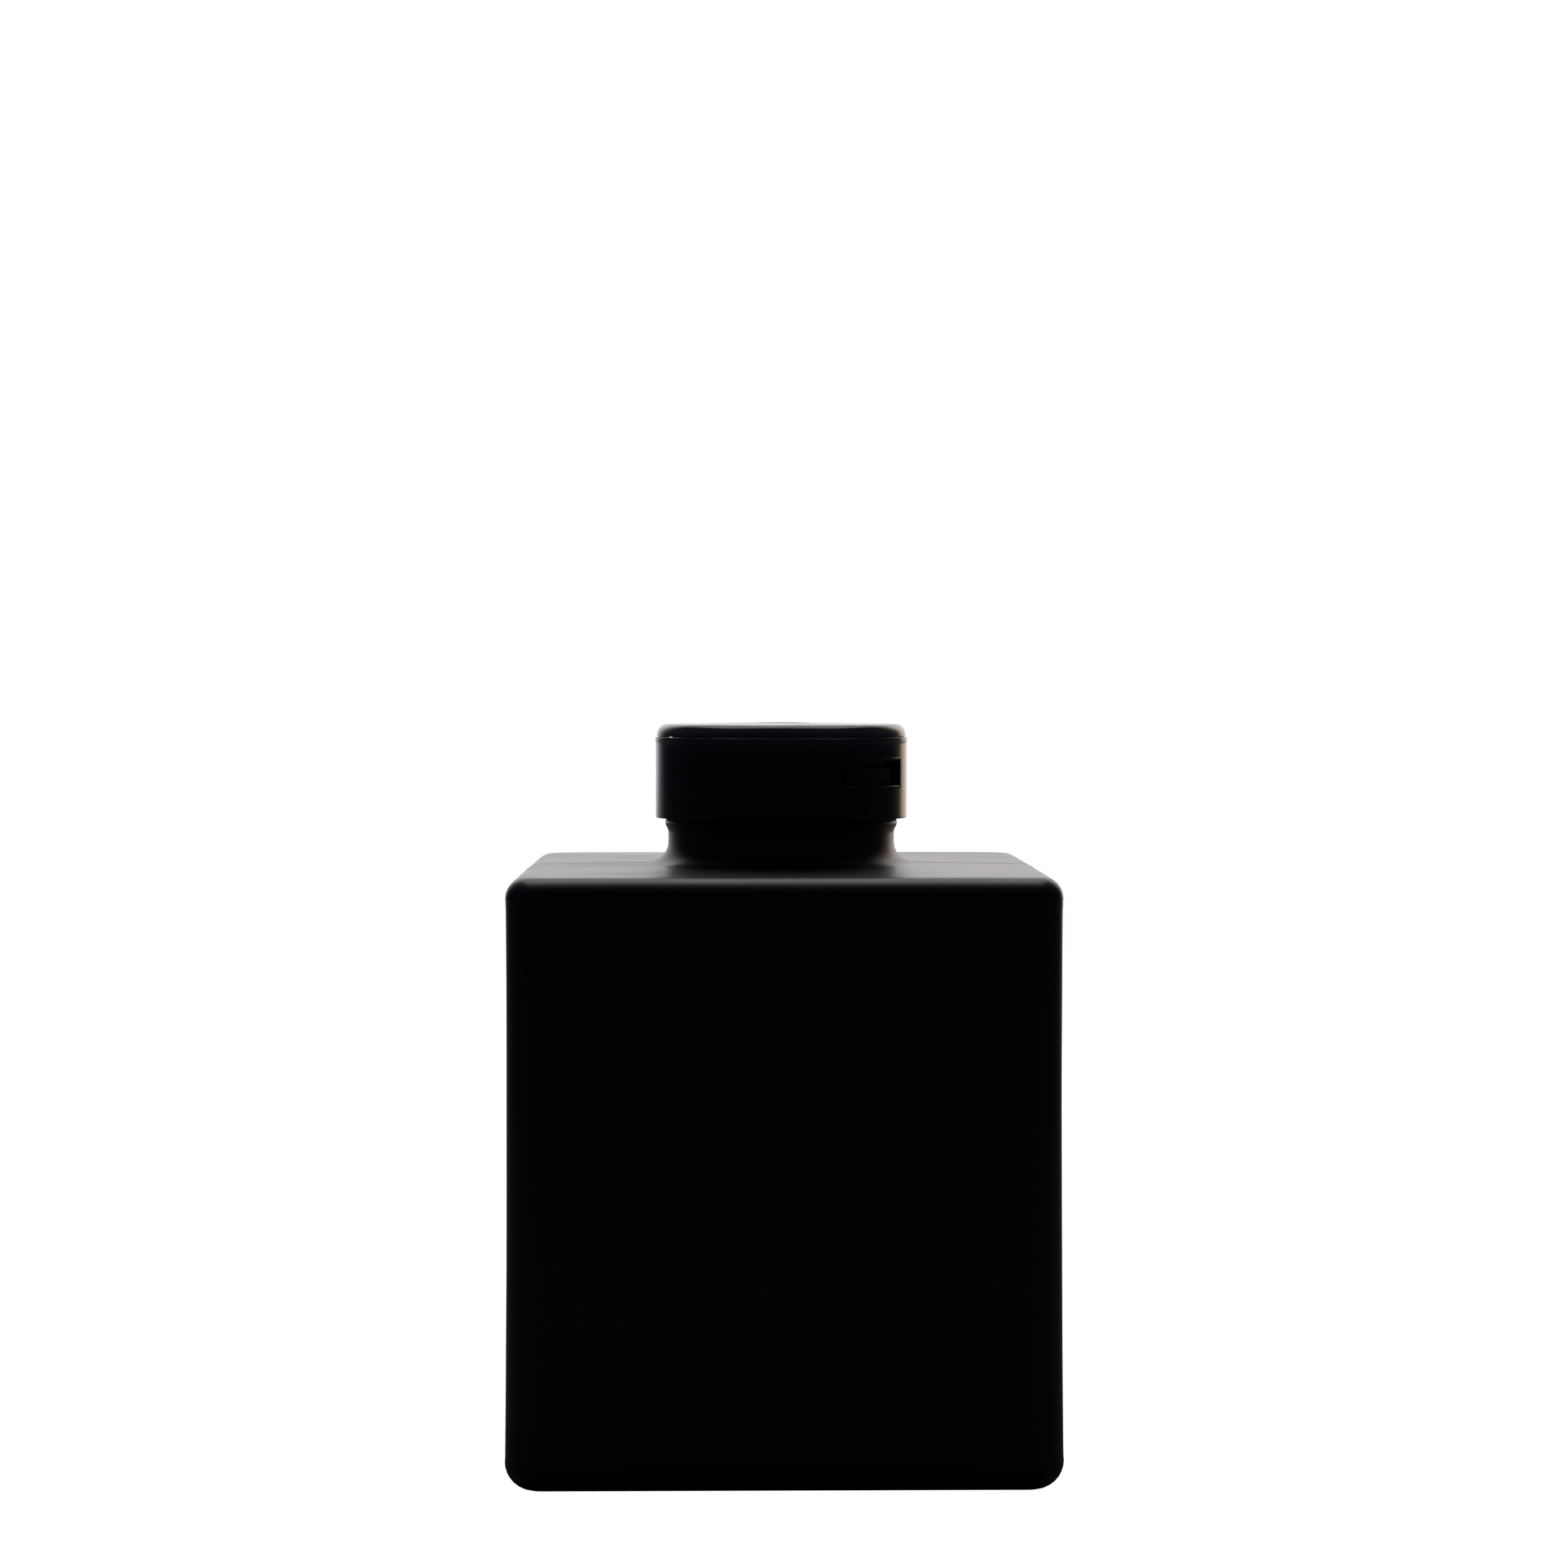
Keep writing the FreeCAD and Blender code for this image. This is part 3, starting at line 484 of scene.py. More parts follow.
# %% The cap's closed section and its net
def cap_section():
    """The cap's section as (radius, height), and which of its rows carry the window."""
    outside = soften([(18.9, 99.2, 0.12), (20.12, 99.2, 0.12), (SKIRT, 103.9, 0)], steps=3)
    outside = outside + [(SKIRT, z) for z in FINE_ROWS]
    top = soften([(SKIRT, 109.1, 0), (20.15, 111.1, 0.3), (20.23, 111.6, 0.2), (20.23, 112.1, 0.09),
                  (18.9, 112.1, 0.09), (18.9, 111, 0.15), (9.9, 111, 0.15), (9.9, 111.6, 0.2),
                  (9, 111.6, 0.2), (9, 109.8, 0.15), (16.15, 109.8, 0.15), (16.15, 99.5, 0.2),
                  (17, 99.5, 0.12), (17, 109.8, 0.15), (18.9, 109.8, 0.15), (18.9, 109.1, 0)], steps=3)
    inside = [(18.9, z) for z in FINE_ROWS[::-1]] + [(18.9, 103.9)]
    return outside, top, inside


def cap_net():
    """The cap's points and faces, with the window left open and walled."""
    outside, top, inside = cap_section()
    section = outside + top + inside
    first = len(outside) - len(FINE_ROWS)
    columns = cap_columns()
    rings = np.array(lathe(section, np.radians(columns)))
    for row in range(first, first + len(FINE_ROWS)):
        for column, turn in enumerate(columns):
            reach = SKIRT + proud(turn, section[row][1])
            angle = math.radians(turn)
            rings[row, column, :2] = reach * math.sin(angle), -reach * math.cos(angle)
    low = first + FINE_ROWS.index(WINDOW_LOW)
    back_low = len(outside) + len(top) + FINE_ROWS[::-1].index(WINDOW_TOP)
    left = int(np.argmin(abs(columns + WINDOW_TURN)))
    right = int(np.argmin(abs(columns - WINDOW_TURN)))
    points, faces = net(rings, closed=True, is_open=lambda row, column:
                        row in (low, back_low) and left <= column < right)
    count = len(columns)
    for near, far in ((low, back_low + 1), (low + 1, back_low)):
        for column in range(left, right):
            quad = [near * count + column, near * count + column + 1,
                    far * count + column + 1, far * count + column]
            faces.append(tuple(quad if near == low else quad[::-1]))
    for column in (left, right):
        quad = [low * count + column, (low + 1) * count + column, back_low * count + column,
                (back_low + 1) * count + column]
        faces.append(tuple(quad[::-1] if column == left else quad))
    return points, faces


# %% [markdown]
# ## Cuts and small parts
# The slot for the latch, the notch for the hinge and the hinge's ears are flat-sided, and
# sit where flat faces meet, so here booleans are the quick and clean way. The exact solver
# is used, and each result is made a plain mesh at once.


# %% Blocks, round bars and booleans
def block(low, high):
    """A closed box between two corners, given in the cap's drawing."""
    (x0, y0, z0), (x1, y1, z1) = low, high
    rings = [[(x0, y0, z), (x1, y0, z), (x1, y1, z), (x0, y1, z)] for z in (z0, z1)]
    return piece_from("block", *net(rings, flat_ends=True), is_turned=True)


def bar_on_hinge(outer, near, far):
    """A solid round bar about the hinge axis."""
    rings = [[(along, HINGE_BACK + outer * math.cos(a), HINGE_HEIGHT + outer * math.sin(a))
              for a in np.radians(range(0, 360, 9))] for along in (near, far)]
    return piece_from("bar", *net(rings, flat_ends=True), is_turned=True)


def plain_mesh(piece):
    """Turns a piece's modifiers into its mesh."""
    shown = piece.evaluated_get(bpy.context.evaluated_depsgraph_get())
    mesh = bpy.data.meshes.new_from_object(shown)
    piece.modifiers.clear()
    piece.data = mesh


def shaped(piece, cuts=(), joins=()):
    """Joins tools on to a piece, then cuts others away, and removes the tools."""
    for operation, tools in (("UNION", joins), ("DIFFERENCE", cuts)):
        for tool in tools:
            modifier = piece.modifiers.new(operation, "BOOLEAN")
            modifier.operation, modifier.object, modifier.solver = operation, tool, "EXACT"
            bpy.context.view_layer.update()
            plain_mesh(piece)
            bpy.data.objects.remove(tool)
    return piece


def crisp(piece, angle=28):
    """Shades smooth but keeps corners sharper than the angle, and flats flat."""
    piece.data.shade_smooth()
    piece.data.set_sharp_from_angle(angle=math.radians(angle))
    modifier = piece.modifiers.new("flats", "WEIGHTED_NORMAL")
    modifier.keep_sharp = True
    plain_mesh(piece)
    return piece


# %% The cap with its slot, notch and ears
def leg_groove(side, near, far, low, high):
    """The trough or rib that a leg of the lid's spring lies against."""
    return block((side * 1.71 - 0.25, near, low), (side * 1.71 + 0.25, far, high))


cap_shell = piece_from("cap_shell", *cap_net(), is_turned=True)
shaped(cap_shell, cuts=[block((-3, -19.2, 107.5), (3, -16.65, 113)),
                        block((-8.4, 16.4, 110.4), (8.4, 21, 113)),
                        leg_groove(-1, 14.9, 16.5, 110.75, 111.2)])
EAR_MIDDLE, EAR_HALF = 4.45, 0.75
for side in (-1, 1):
    low, high = side * EAR_MIDDLE - EAR_HALF, side * EAR_MIDDLE + EAR_HALF
    web = block((low, HINGE_BACK - 0.999, 110.1), (high, HINGE_BACK + 0.999, HINGE_HEIGHT))
    shaped(cap_shell, joins=[web, bar_on_hinge(1, low, high)])
shaped(cap_shell, cuts=[bar_on_hinge(0.51, -6, 6)])
crisp(cap_shell)
cap_thread = thread_piece("cap_thread", {
    "Radius": 15.7 * MM, "Start height": (101.9 - 1.7 + 4.233 * 47 / 360) * MM,
    "Inner width": 1.0 * MM, "Outer width": 2.4 * MM, "Depth": 1.3 * MM}, is_turned=True)
print("the cap:", len(cap_shell.data.polygons), "faces")

# %% [markdown]
# ## The lid
# The lid is a shallow dish turned upside down: a plate with a rim, a ring that holds the
# seal, and a thumb-wide dimple in the middle of the top. Its rounded top edge catches most
# of the light, so the section gets many steps there. At the back it is cut flat beside the
# hinge, where two knuckles hang down to the pin, and at the front hangs the catch.

# %% The lid's section and its parts
lid_section = soften([
    (0.6, 112.95, 0), (10.6, 112.95, 0.15), (10.6, 111.75, 0.15), (11.4, 111.75, 0.15),
    (11.4, 112.95, 0.15), (18.65, 112.95, 0.2), (18.65, 112.2, 0.1), (19.95, 112.2, 0.12),
    (19.95, 114.15, 1.68), (4.8, 114.38, 0.5), (4.1, 114.06, 0.45), (0.6, 114.06, 0)], steps=8)
lid_shell = piece_from("lid_shell", *net(lathe(lid_section, FULL_TURN)), is_turned=True)
catch = [(-19.05, 113.15), (-19.05, 109.8), (-18.95, 109.7), (-18.55, 109.7), (-18.1, 110.05),
         (-18.1, 110.4), (-18.55, 110.4), (-18.55, 113.15)]
catch = piece_from("catch", *net([[(x, y, z) for y, z in catch] for x in (-2.6, 2.6)], flat_ends=True),
                   is_turned=True)
shaped(lid_shell, cuts=[block((-21, 18.6, 111), (21, 21, 115)),
                        block((-7.4, 16.4, 111), (7.4, 21, 112.95))])
KNUCKLE_MIDDLE, KNUCKLE_HALF = 2.775, 0.775
shaped(lid_shell, joins=[catch, leg_groove(1, 15, 16.4, 112.65, 113.05)])
for side in (-1, 1):
    low, high = side * KNUCKLE_MIDDLE - KNUCKLE_HALF, side * KNUCKLE_MIDDLE + KNUCKLE_HALF
    web = block((low, HINGE_BACK - 0.999, HINGE_HEIGHT), (high, 18.599, 113.15))
    shaped(lid_shell, joins=[web, bar_on_hinge(1, low, high)])
shaped(lid_shell, cuts=[bar_on_hinge(0.55, -4, 4)])
crisp(lid_shell)
print("the lid:", len(lid_shell.data.polygons), "faces")

# %% [markdown]
# ## The button
# The button is a pad that shows in the window, on a curved flange too wide to fall out of
# it. A thin arm rises from the flange through the slot, and its hook holds the lid's catch
# until the pad is pressed. All of it follows the skirt's curve.


# %% Curved blocks
def curved_block(name, section, half_turn, end_break=0.0):
    """A section (radius, height) carried round the axis, both ways from the button's middle.

    Its ends draw in by end_break, like the bevel round the pad's face.
    """
    section = np.array(section, float)
    middle = section.mean(axis=0)
    spread = 1 - end_break / np.ptp(section, axis=0)[1] * 2
    back = section[:, 0].min()
    rings = []
    drawn = section.copy()
    drawn[:, 1] = middle[1] + (section[:, 1] - middle[1]) * spread
    drawn[:, 0] = np.minimum(section[:, 0], section[:, 0].max() - end_break)
    drawn[:, 0] = np.maximum(drawn[:, 0], back)
    turns = np.linspace(-half_turn, half_turn, 25)
    inner_end = half_turn - math.degrees(end_break / section[:, 0].max())
    for turn in [-half_turn, *turns[abs(turns) < inner_end], half_turn] if end_break else turns:
        use = drawn if end_break and abs(turn) == half_turn else section
        angle = math.radians(turn)
        rings.append([(r * math.sin(angle), -r * math.cos(angle), z) for r, z in use])
    return piece_from(name, *net(rings, flat_ends=True), is_turned=True)


# %% The pad, its flange and the latch arm
pad_section = soften([(17.95, 104.7, 0), (19.15, 104.7, 0.08), (19.45, 105.0, 0.12), (19.45, 107.4, 0.12),
                      (19.15, 107.7, 0.08), (17.95, 107.7, 0)], steps=3)
flange_section = soften([(17.9, 103.9, 0.1), (18.75, 103.9, 0.15), (18.75, 109, 0.15), (17.9, 109, 0.1)],
                        closed=True, steps=3)
button_pad = curved_block("button_pad", pad_section, 16.3, 0.3)
arm = [(-17.5, 107.8), (-18.7, 107.8), (-18.7, 108.95), (-17.95, 108.95), (-17.95, 110.5),
       (-18.42, 110.5), (-18.42, 110.65), (-17.95, 111.1), (-17.5, 111.1)]
arm = piece_from("arm", *net([[(x, y, z) for y, z in arm] for x in (-2.4, 2.4)], flat_ends=True),
                 is_turned=True)
shaped(button_pad, joins=[curved_block("flange", flange_section, 22), arm])
crisp(button_pad)
print("the button:", len(button_pad.data.polygons), "faces")

# %% [markdown]
# ## Seals and springs
# Under the lid sits a soft seal: a disc that lies on the pouring lip and a ring that plugs
# the hole. The lid's spring is a close coil of wire round the hinge pin. Its path is a rule,
# a helix with a straight leg at each end, so it is worked out point by point and swept as a
# tube. A tube made by Curve to Mesh would do too, but the legs have to leave the coil at
# its bottom and its top exactly.

# %% The seal and the spring wire
seal_section = soften([(0.6, 111.62, 0), (7.9, 111.62, 0.15), (7.9, 110.6, 0.2), (8.8, 110.6, 0.3),
                       (8.8, 111.62, 0.1), (10.5, 111.62, 0.2), (10.5, 112.94, 0.1),
                       (0.6, 112.94, 0)], steps=5)
seal_disc = piece_from("seal_disc", *net(lathe(seal_section, FULL_TURN)), is_turned=True)
WIRE, COIL, COIL_HALF, COIL_TURNS, LEG = 0.15, 0.78, 1.71, 9.5, 3.2


def spring_path():
    """The wire's centreline: a leg on the deck, the coil about the hinge, a leg on the lid."""
    turns = np.radians(np.arange(0, 360 * COIL_TURNS + 1, 12))
    along = np.linspace(-COIL_HALF, COIL_HALF, len(turns))
    coil = [(x, HINGE_BACK - COIL * math.sin(a), HINGE_HEIGHT - COIL * math.cos(a))
            for x, a in zip(along, turns)]
    reach = np.linspace(LEG, 0.3, 8)
    deck_leg = [(-COIL_HALF, HINGE_BACK - d, HINGE_HEIGHT - COIL) for d in reach]
    lid_leg = [(COIL_HALF, HINGE_BACK - d, HINGE_HEIGHT + COIL) for d in reach[::-1]]
    return deck_leg, coil, lid_leg


def wire_piece(name, path, radius, sides=10):
    """A round wire along a path, its rings carried along without twisting."""
    path = np.array(path, float)
    tangents = np.gradient(path, axis=0)
    tangents /= np.linalg.norm(tangents, axis=1, keepdims=True)
    across = np.array([1.0, 0, 0])
    rings = []
    for spot, tangent in zip(path, tangents):
        across = across - tangent * (across @ tangent)
        across /= np.linalg.norm(across)
        other = np.cross(tangent, across)
        rings.append([spot + radius * (math.cos(a) * across + math.sin(a) * other)
                      for a in np.radians(np.arange(sides) * 360 / sides)])
    return piece_from(name, *net(rings), is_turned=True)


deck_leg, coil, lid_leg = spring_path()
spring_wire = wire_piece("spring_wire", deck_leg + coil[1:-1] + lid_leg, WIRE)
leaf_points = []
for x in np.linspace(-4.4, 4.4, 23):
    bow = 17.05 + 0.15 * (x / 4.4) ** 2
    leaf_points.append([(x, -bow - across, z) for across, z in
                        soften([(0, 105.1, 0.04), (0.12, 105.1, 0.04), (0.12, 107.1, 0.04), (0, 107.1, 0.04)],
                               closed=True, steps=2)])
leaf_blade = piece_from("leaf_blade", *net(leaf_points), is_turned=True)
print("the spring:", len(spring_wire.data.polygons), "faces; the leaf:", len(leaf_blade.data.polygons))

# %% [markdown]
# ## Finishes
# A finish is a small sum: grain here, dust there, a little less gloss on the worn edge. So
# numbers that vary over a surface are written as sums, and a small class turns each sum
# into Math nodes. What is the same all over is set straight on the shader.


# %% Numbers that vary over a surface
class Varying:
    """A socket whose number varies over the surface; sums with it add Math nodes."""

    def __init__(self, finish, socket):
        self.finish, self.socket = finish, socket

    def _sum(self, operation, first, second):
        return self.finish.node("ShaderNodeMath", {"operation": operation}, {0: first, 1: second})

    def __add__(self, other):
        return self._sum("ADD", self, other)

    def __sub__(self, other):
        return self._sum("SUBTRACT", self, other)

    def __rsub__(self, other):
        return self._sum("SUBTRACT", other, self)

    def __mul__(self, other):
        return self._sum("MULTIPLY", self, other)

    __radd__ = __add__
    __rmul__ = __mul__


class Finish:
    """A material being made."""

    def __init__(self, name):
        self.material = bpy.data.materials.new(name)
        self.material.use_nodes = True
        self.tree = self.material.node_tree
        self.tree.nodes.clear()
        self.place = self.node("ShaderNodeTexCoord", output="Object")

    def node(self, kind, settings=None, inputs=None, output=0):
        """A node of that type: its settings first, then its sockets' values or links."""
        made = self.tree.nodes.new(kind)
        for key, value in (settings or {}).items():
            setattr(made, key, value)
        for key, value in (inputs or {}).items():
            if isinstance(value, Varying):
                self.tree.links.new(value.socket, made.inputs[key])
            else:
                made.inputs[key].default_value = value
        return Varying(self, made.outputs[output])

    def noise(self, size_mm, detail=2.0, roughness=0.5, stretch=(1, 1, 1)):
        """Noise from 0 to 1 whose lumps are about that many millimetres."""
        scaled = self.node("ShaderNodeMapping", {}, {"Vector": self.place, "Scale": stretch})
        return self.node("ShaderNodeTexNoise", {"noise_dimensions": "3D"}, {
            "Vector": scaled, "Scale": 1 / (size_mm * MM), "Detail": detail, "Roughness": roughness})

    def specks(self, spacing_mm, radius, share):
        """Round specks, 1 inside and 0 outside, in that share of cells this far apart."""
        cells = {"Vector": self.place, "Scale": 1 / (spacing_mm * MM)}
        away = self.node("ShaderNodeTexVoronoi", {}, cells, "Distance")
        chance = self.node("ShaderNodeSeparateColor", {}, {
            "Color": self.node("ShaderNodeTexVoronoi", {}, cells, "Color")})
        return (1 - self.ramp(away, radius * 0.6, radius)) * self.ramp(chance, 1 - share, 1 - share * 0.9)

    def ramp(self, value, low, high, start=0.0, end=1.0):
        """A smooth step from start to end as the value goes from low to high."""
        return self.node("ShaderNodeMapRange", {"interpolation_type": "SMOOTHSTEP"}, {
            "Value": value, "From Min": low, "From Max": high, "To Min": start, "To Max": end})

    def mixed(self, share, first, second):
        """A colour between two colours."""
        return self.node("ShaderNodeMix", {"data_type": "RGBA"}, {
            0: share, 6: (*first, 1) if isinstance(first, tuple) else first,
            7: (*second, 1) if isinstance(second, tuple) else second}, output=2)

    def bump(self, height, depth_mm, strength=1.0):
        """A bump whose height of 1 stands that many millimetres out of the surface."""
        return self.node("ShaderNodeBump", {}, {
            "Height": height, "Distance": depth_mm * MM, "Strength": strength})

    def worn_edges(self):
        """1 on sharp outer edges and 0 elsewhere, from how the mesh is curved."""
        pointed = self.node("ShaderNodeNewGeometry", output="Pointiness")
        return self.ramp(pointed, 0.53, 0.62)

    def done(self, varying, fixed):
        """The shader, with its varying and its fixed sockets; it returns the material."""
        shader = self.node("ShaderNodeBsdfPrincipled", {}, {**fixed, **varying})
        end = self.tree.nodes.new("ShaderNodeOutputMaterial")
        self.tree.links.new(shader.socket, end.inputs["Surface"])
        return self.material


# %% [markdown]
# ## Black plastic, three ways
# All of the outside is one colour, a black with a little blue in it, and only the surface
# tells the pieces apart. The blown jar has the soft, fine grain of a blasted mould, the
# cap's grain is finer and a little glossier, and the pad is the smoothest. Each has the
# traces of handling that black plastic can't hide: dust in the grain, faint smears and
# edges rubbed a touch brighter. The cap and lid also get a paler band painted by their
# seam, a painted sheen standing in for the light caught by the top of the skirt and the lid's rim.


# %% The black plastics
# The paler band by the lid's seam is painted sheen: a lighter lavender tone that stands in for light caught
# by the top of the skirt and the lid's rim.
PAINTED_SHEEN_STARTS, PAINTED_SHEEN_ENDS, PAINTED_SHEEN_REACH = (0.109, 0.1122), (0.113, 0.1136), (0.0193, 0.0198)


def black_plastic(name, grain_mm, grain_depth_mm, rough, dust_share, tint=1.0, seed_mm=31.0, painted_sheen=0.0):
    """A moulded black plastic with grain, smears, dust, rubbed edges and a painted sheen by the lid's seam.
    """
    finish = Finish(name)
    grain = finish.noise(grain_mm, 3.0, 0.6)
    pebble = finish.noise(grain_mm * 4, 1.0)
    smear = finish.ramp(finish.noise(seed_mm, 4.0, 0.62, (1, 1, 0.55)), 0.42, 0.68)
    cloud = finish.noise(seed_mm * 1.7, 2.0)
    dust = finish.specks(2.3, 0.055, dust_share)
    lint = finish.specks(9.0, 0.028, 0.5)
    rubbed = finish.worn_edges()
    base = finish.mixed(cloud, (0.0016 * tint, 0.0017 * tint, 0.0036 * tint),
                        (0.0030 * tint, 0.0031 * tint, 0.0062 * tint))
    base = finish.mixed(rubbed * 0.5, base, (0.03, 0.03, 0.035))
    height_up = finish.node("ShaderNodeSeparateXYZ", {}, {0: finish.place}, 2)
    flat = finish.node("ShaderNodeMapping", {}, {"Vector": finish.place, "Scale": (1, 1, 0)})
    reach = finish.node("ShaderNodeVectorMath", {"operation": "LENGTH"}, {0: flat}, "Value")
    # Painted sheen: a paler band at the top of the skirt and round the lid's rim, made lighter as if lit from
    # above.
    painted_sheen_band = finish.ramp(height_up, *PAINTED_SHEEN_STARTS) * finish.ramp(height_up, *PAINTED_SHEEN_ENDS, 1, 0)
    painted_sheen_band = painted_sheen_band * finish.ramp(reach, *PAINTED_SHEEN_REACH)
    base = finish.mixed(painted_sheen_band * (cloud * 0.6 + 0.6) * painted_sheen, base, (0.10, 0.095, 0.115))
    base = finish.mixed(dust * 0.35 + lint * 0.6, base, (0.10, 0.075, 0.05))
    height = grain * 0.7 + pebble * 0.3 + dust * 1.5
    return finish.done(
        {"Base Color": base,
         "Roughness": rough + (grain - 0.5) * 0.10 + smear * 0.05 - rubbed * 0.08 + dust * 0.2,
         "Normal": finish.bump(height, grain_depth_mm)},
        {"IOR": 1.33, "Specular IOR Level": 0.5})


JAR_PLASTIC = black_plastic("jar_plastic", 0.32, 0.012, 0.36, 0.010)
CAP_PLASTIC = black_plastic("cap_plastic", 0.20, 0.006, 0.25, 0.008, tint=1.15, seed_mm=13.0, painted_sheen=0.5)
BUTTON_PLASTIC = black_plastic("button_plastic", 0.16, 0.004, 0.30, 0.004, tint=1.1, seed_mm=9.0)
print("black plastics:", [m.name for m in (JAR_PLASTIC, CAP_PLASTIC, BUTTON_PLASTIC)])

# %% [markdown]
# ## Foam, rubber and steel
# The small parts inside show when the lid is open. The liner is a pale closed-cell foam, so
# its grain is cells. The seal is a soft grey rubber, slightly cloudy. The pin and springs
# are drawn steel, so their streaks run along them and their gloss is broken by fine lines.


# %% The finishes inside
def cell_foam():
    """Closed-cell foam for the liner."""
    finish = Finish("liner_foam")
    cells = finish.node("ShaderNodeTexVoronoi", {"feature": "SMOOTH_F1"}, {
        "Vector": finish.place, "Scale": 1 / (0.35 * MM)}, "Distance")
    cloud = finish.noise(6, 3.0)
    tone = finish.mixed(cloud, (0.62, 0.61, 0.57), (0.74, 0.73, 0.70))
    tone = finish.mixed(finish.ramp(cells, 0.2, 0.75) * 0.35, tone, (0.45, 0.44, 0.41))
    return finish.done({"Base Color": tone, "Roughness": 0.62 + cells * 0.15,
                        "Normal": finish.bump(1 - cells, 0.05)}, {"IOR": 1.45})


def seal_rubber():
    """Soft grey rubber for the seal, with the talc that keeps it from sticking."""
    finish = Finish("seal_rubber")
    cloud = finish.noise(3.5, 4.0, 0.6)
    talc = finish.ramp(finish.noise(0.7, 4.0, 0.7), 0.5, 0.72)
    tone = finish.mixed(cloud, (0.16, 0.165, 0.17), (0.22, 0.225, 0.23))
    tone = finish.mixed(talc * 0.3, tone, (0.42, 0.42, 0.42))
    return finish.done({"Base Color": tone, "Roughness": 0.5 + talc * 0.2,
                        "Normal": finish.bump(finish.noise(0.25, 2.0) + talc * 0.3, 0.006)}, {"IOR": 1.42})


def drawn_steel():
    """Drawn spring steel, its streaks along the hinge."""
    finish = Finish("spring_steel")
    turn = finish.node("ShaderNodeMapping", {}, {
        "Vector": finish.place, "Rotation": (0, 0, -CAP_ANGLE), "Scale": (60, 1200, 1200)})
    streak = finish.node("ShaderNodeTexNoise", {}, {"Vector": turn, "Scale": 5.0, "Detail": 3.0})
    stain = finish.ramp(finish.noise(1.4, 4.0, 0.6), 0.5, 0.75)
    tone = finish.mixed(streak, (0.44, 0.43, 0.41), (0.62, 0.61, 0.59))
    tone = finish.mixed(stain * 0.4, tone, (0.26, 0.22, 0.18))
    return finish.done({"Base Color": tone, "Roughness": 0.24 + streak * 0.14 + stain * 0.15,
                        "Normal": finish.bump(streak, 0.002)}, {"Metallic": 1.0})


LINER_FOAM, SEAL_RUBBER, SPRING_STEEL = cell_foam(), seal_rubber(), drawn_steel()
print("inside finishes:", [m.name for m in (LINER_FOAM, SEAL_RUBBER, SPRING_STEEL)])

# %% [markdown]
# ## Dressing the model
# Each new piece takes the place of its CAD node and most move with that node's body. The
# lid's spring is wound between the cap and the lid along the pin, but it is not attached to
# either and stays where it is drawn. The leaf behind the button goes with the cap.


# %% Pieces, bodies and slots
def dressed(piece, material):
    """Gives a piece its material."""
    piece.data.materials.clear()
    piece.data.materials.append(material)


for piece, material, slot, body, node in (
        (jar_shell, JAR_PLASTIC, "jar_plastic", "jar", "jar_body"),
        (neck_thread, JAR_PLASTIC, "jar_plastic", "jar", None),
        (cap_shell, CAP_PLASTIC, "cap_plastic", "cap", "cap_base"),
        (cap_thread, CAP_PLASTIC, "cap_plastic", "cap", None),
        (lid_shell, CAP_PLASTIC, "cap_plastic", "lid", "lid"),
        (button_pad, BUTTON_PLASTIC, "button_plastic", "button", "press_button"),
        (seal_disc, SEAL_RUBBER, "seal_rubber", "lid", "lid_seal"),
        (leaf_blade, SPRING_STEEL, "spring_steel", "cap", "button_spring")):
    dressed(piece, material)
    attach(piece, body)
    if node:
        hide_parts(node)

dressed(spring_wire, SPRING_STEEL)
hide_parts("lid_spring")
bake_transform(spring_wire)
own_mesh(leaf_blade)
for node, material, slot in (("cap_liner", LINER_FOAM, "liner_foam"),
                             ("hinge_pin", SPRING_STEEL, "spring_steel")):
    dressed(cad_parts[node], material)

# %% [markdown]
# ## Floor, light and camera
# A matte black thing shows only by what it mirrors at a slant. So a bright wall stands
# behind it, and there is only a faint blue light elsewhere: the shoulder and the lid mirror
# the wall, and the front stays dark. The floor and the room are white to the camera alone.
# As light they are dim, so the jar casts no shadow that can be seen.


# %% Floor
def pale_floor():
    """A floor that is white to the camera and a dim grey card to everything it lights."""
    finish = Finish("pale_floor")
    cloud = finish.noise(180, 3.0)
    seen = finish.node("ShaderNodeLightPath", output="Is Camera Ray")
    tone = finish.mixed(cloud, (0.90, 0.90, 0.90), (0.95, 0.95, 0.95))
    return finish.done({"Base Color": finish.mixed(seen, (0.10, 0.10, 0.11), tone),
                        "Emission Color": finish.mixed(seen, (0, 0, 0), (1, 1, 1)),
                        "Roughness": 0.75 + cloud * 0.1},
                       {"Specular IOR Level": 0.1, "Emission Strength": 1})


FLOOR_REACH = 1300
floor = piece_from("floor", *net([level(CIRCLE * r, z) for r, z in (
    (FLOOR_REACH, -20), (FLOOR_REACH, 0), (300, 0), (60, 0))]))
floor.data.materials.append(pale_floor())


# %% Lights
def soft_light(name, place, size, power, colour=(1, 1, 1), aim=(0, 0, 0.06)):
    """A soft box that looks at the jar and isn't seen itself."""
    light = bpy.data.lights.new(name, "AREA")
    light.shape, light.size, light.size_y = "RECTANGLE", *size
    light.energy, light.color = power, colour
    holder = bpy.data.objects.new(name, light)
    holder.location = place
    holder.rotation_euler = (Vector(aim) - Vector(place)).to_track_quat("-Z", "Y").to_euler()
    holder.visible_camera = False
    bpy.context.scene.collection.objects.link(holder)
    return holder


ROOM_TONE, WALL_TONE = (0.024, 0.028, 0.045, 1), (1.75, 1.68, 1.73, 1)
WALL_EDGE, WALL_LEAN = 0.78, 0.25


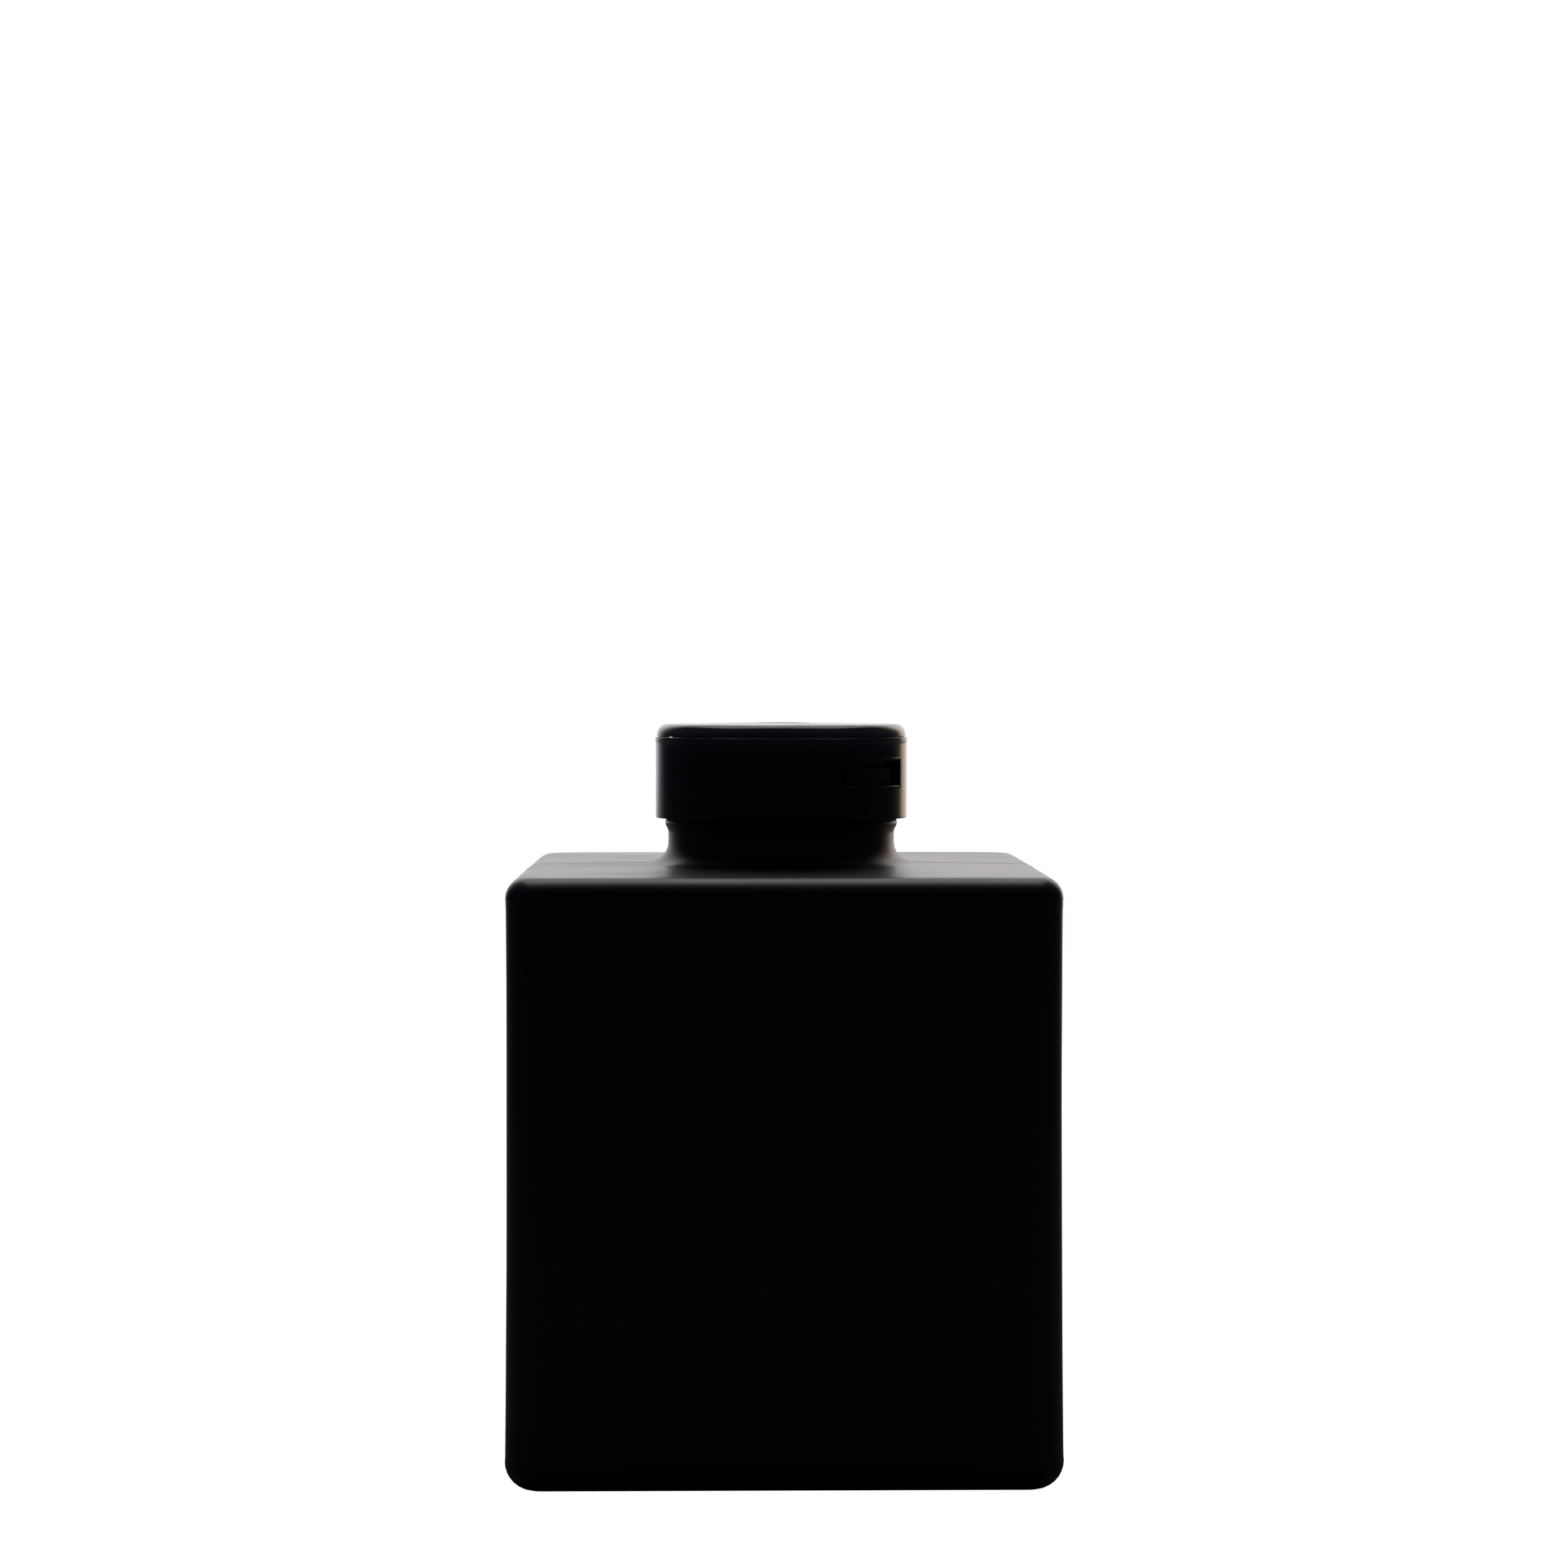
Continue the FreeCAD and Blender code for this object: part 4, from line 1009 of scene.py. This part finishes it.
def studio_world():
    """White all round to the camera; as light, a bright wall behind and a dim blue room elsewhere."""
    world = bpy.data.worlds.new("studio")
    world.use_nodes = True
    nodes, links = world.node_tree.nodes, world.node_tree.links
    way = nodes.new("ShaderNodeTexCoord")
    split = nodes.new("ShaderNodeSeparateXYZ")
    links.new(way.outputs["Generated"], split.inputs[0])
    depth = nodes.new("ShaderNodeMapRange")
    depth.interpolation_type = "SMOOTHSTEP"
    for name, value in (("From Min", WALL_EDGE), ("From Max", 1.0), ("To Min", 0.0), ("To Max", 1.0)):
        depth.inputs[name].default_value = value
    lifted = nodes.new("ShaderNodeMath")
    lifted.operation, lifted.inputs[1].default_value = "MULTIPLY_ADD", WALL_LEAN
    links.new(split.outputs["Z"], lifted.inputs[0])
    links.new(split.outputs["Y"], lifted.inputs[2])
    links.new(lifted.outputs[0], depth.inputs["Value"])
    seen = nodes.new("ShaderNodeLightPath")
    lit, shown = nodes.new("ShaderNodeMix"), nodes.new("ShaderNodeMix")
    lit.data_type = shown.data_type = "RGBA"
    lit.inputs[6].default_value, lit.inputs[7].default_value = ROOM_TONE, WALL_TONE
    shown.inputs[7].default_value = (1, 1, 1, 1)
    links.new(depth.outputs[0], lit.inputs[0])
    links.new(seen.outputs["Is Camera Ray"], shown.inputs[0])
    links.new(lit.outputs[2], shown.inputs[6])
    links.new(shown.outputs[2], nodes["Background"].inputs["Color"])
    return world


soft_light("overhead", (0, 0.5, 1.4), (1.4, 1.0), 14)
soft_light("right", (0.7, 1.2, 0.3), (0.35, 1.0), 1.6, colour=(1, 0.72, 0.45))
bpy.context.scene.world = studio_world()
bpy.context.scene.view_settings.view_transform = "Standard"

# %% Camera
CAMERA_BACK, CAMERA_HEIGHT, CAMERA_TURN = 0.539, 0.1199, math.radians(-0.8)
camera = bpy.data.cameras.new("camera")
camera.sensor_width, camera.lens = 36, 76.96
camera.shift_x, camera.shift_y = 0.0018, -0.0611
viewer = bpy.data.objects.new("camera", camera)
viewer.location = (CAMERA_BACK * math.sin(CAMERA_TURN), -CAMERA_BACK * math.cos(CAMERA_TURN), CAMERA_HEIGHT)
viewer.rotation_euler = (math.pi / 2, 0, CAMERA_TURN)
bpy.context.scene.collection.objects.link(viewer)
bpy.context.scene.camera = viewer
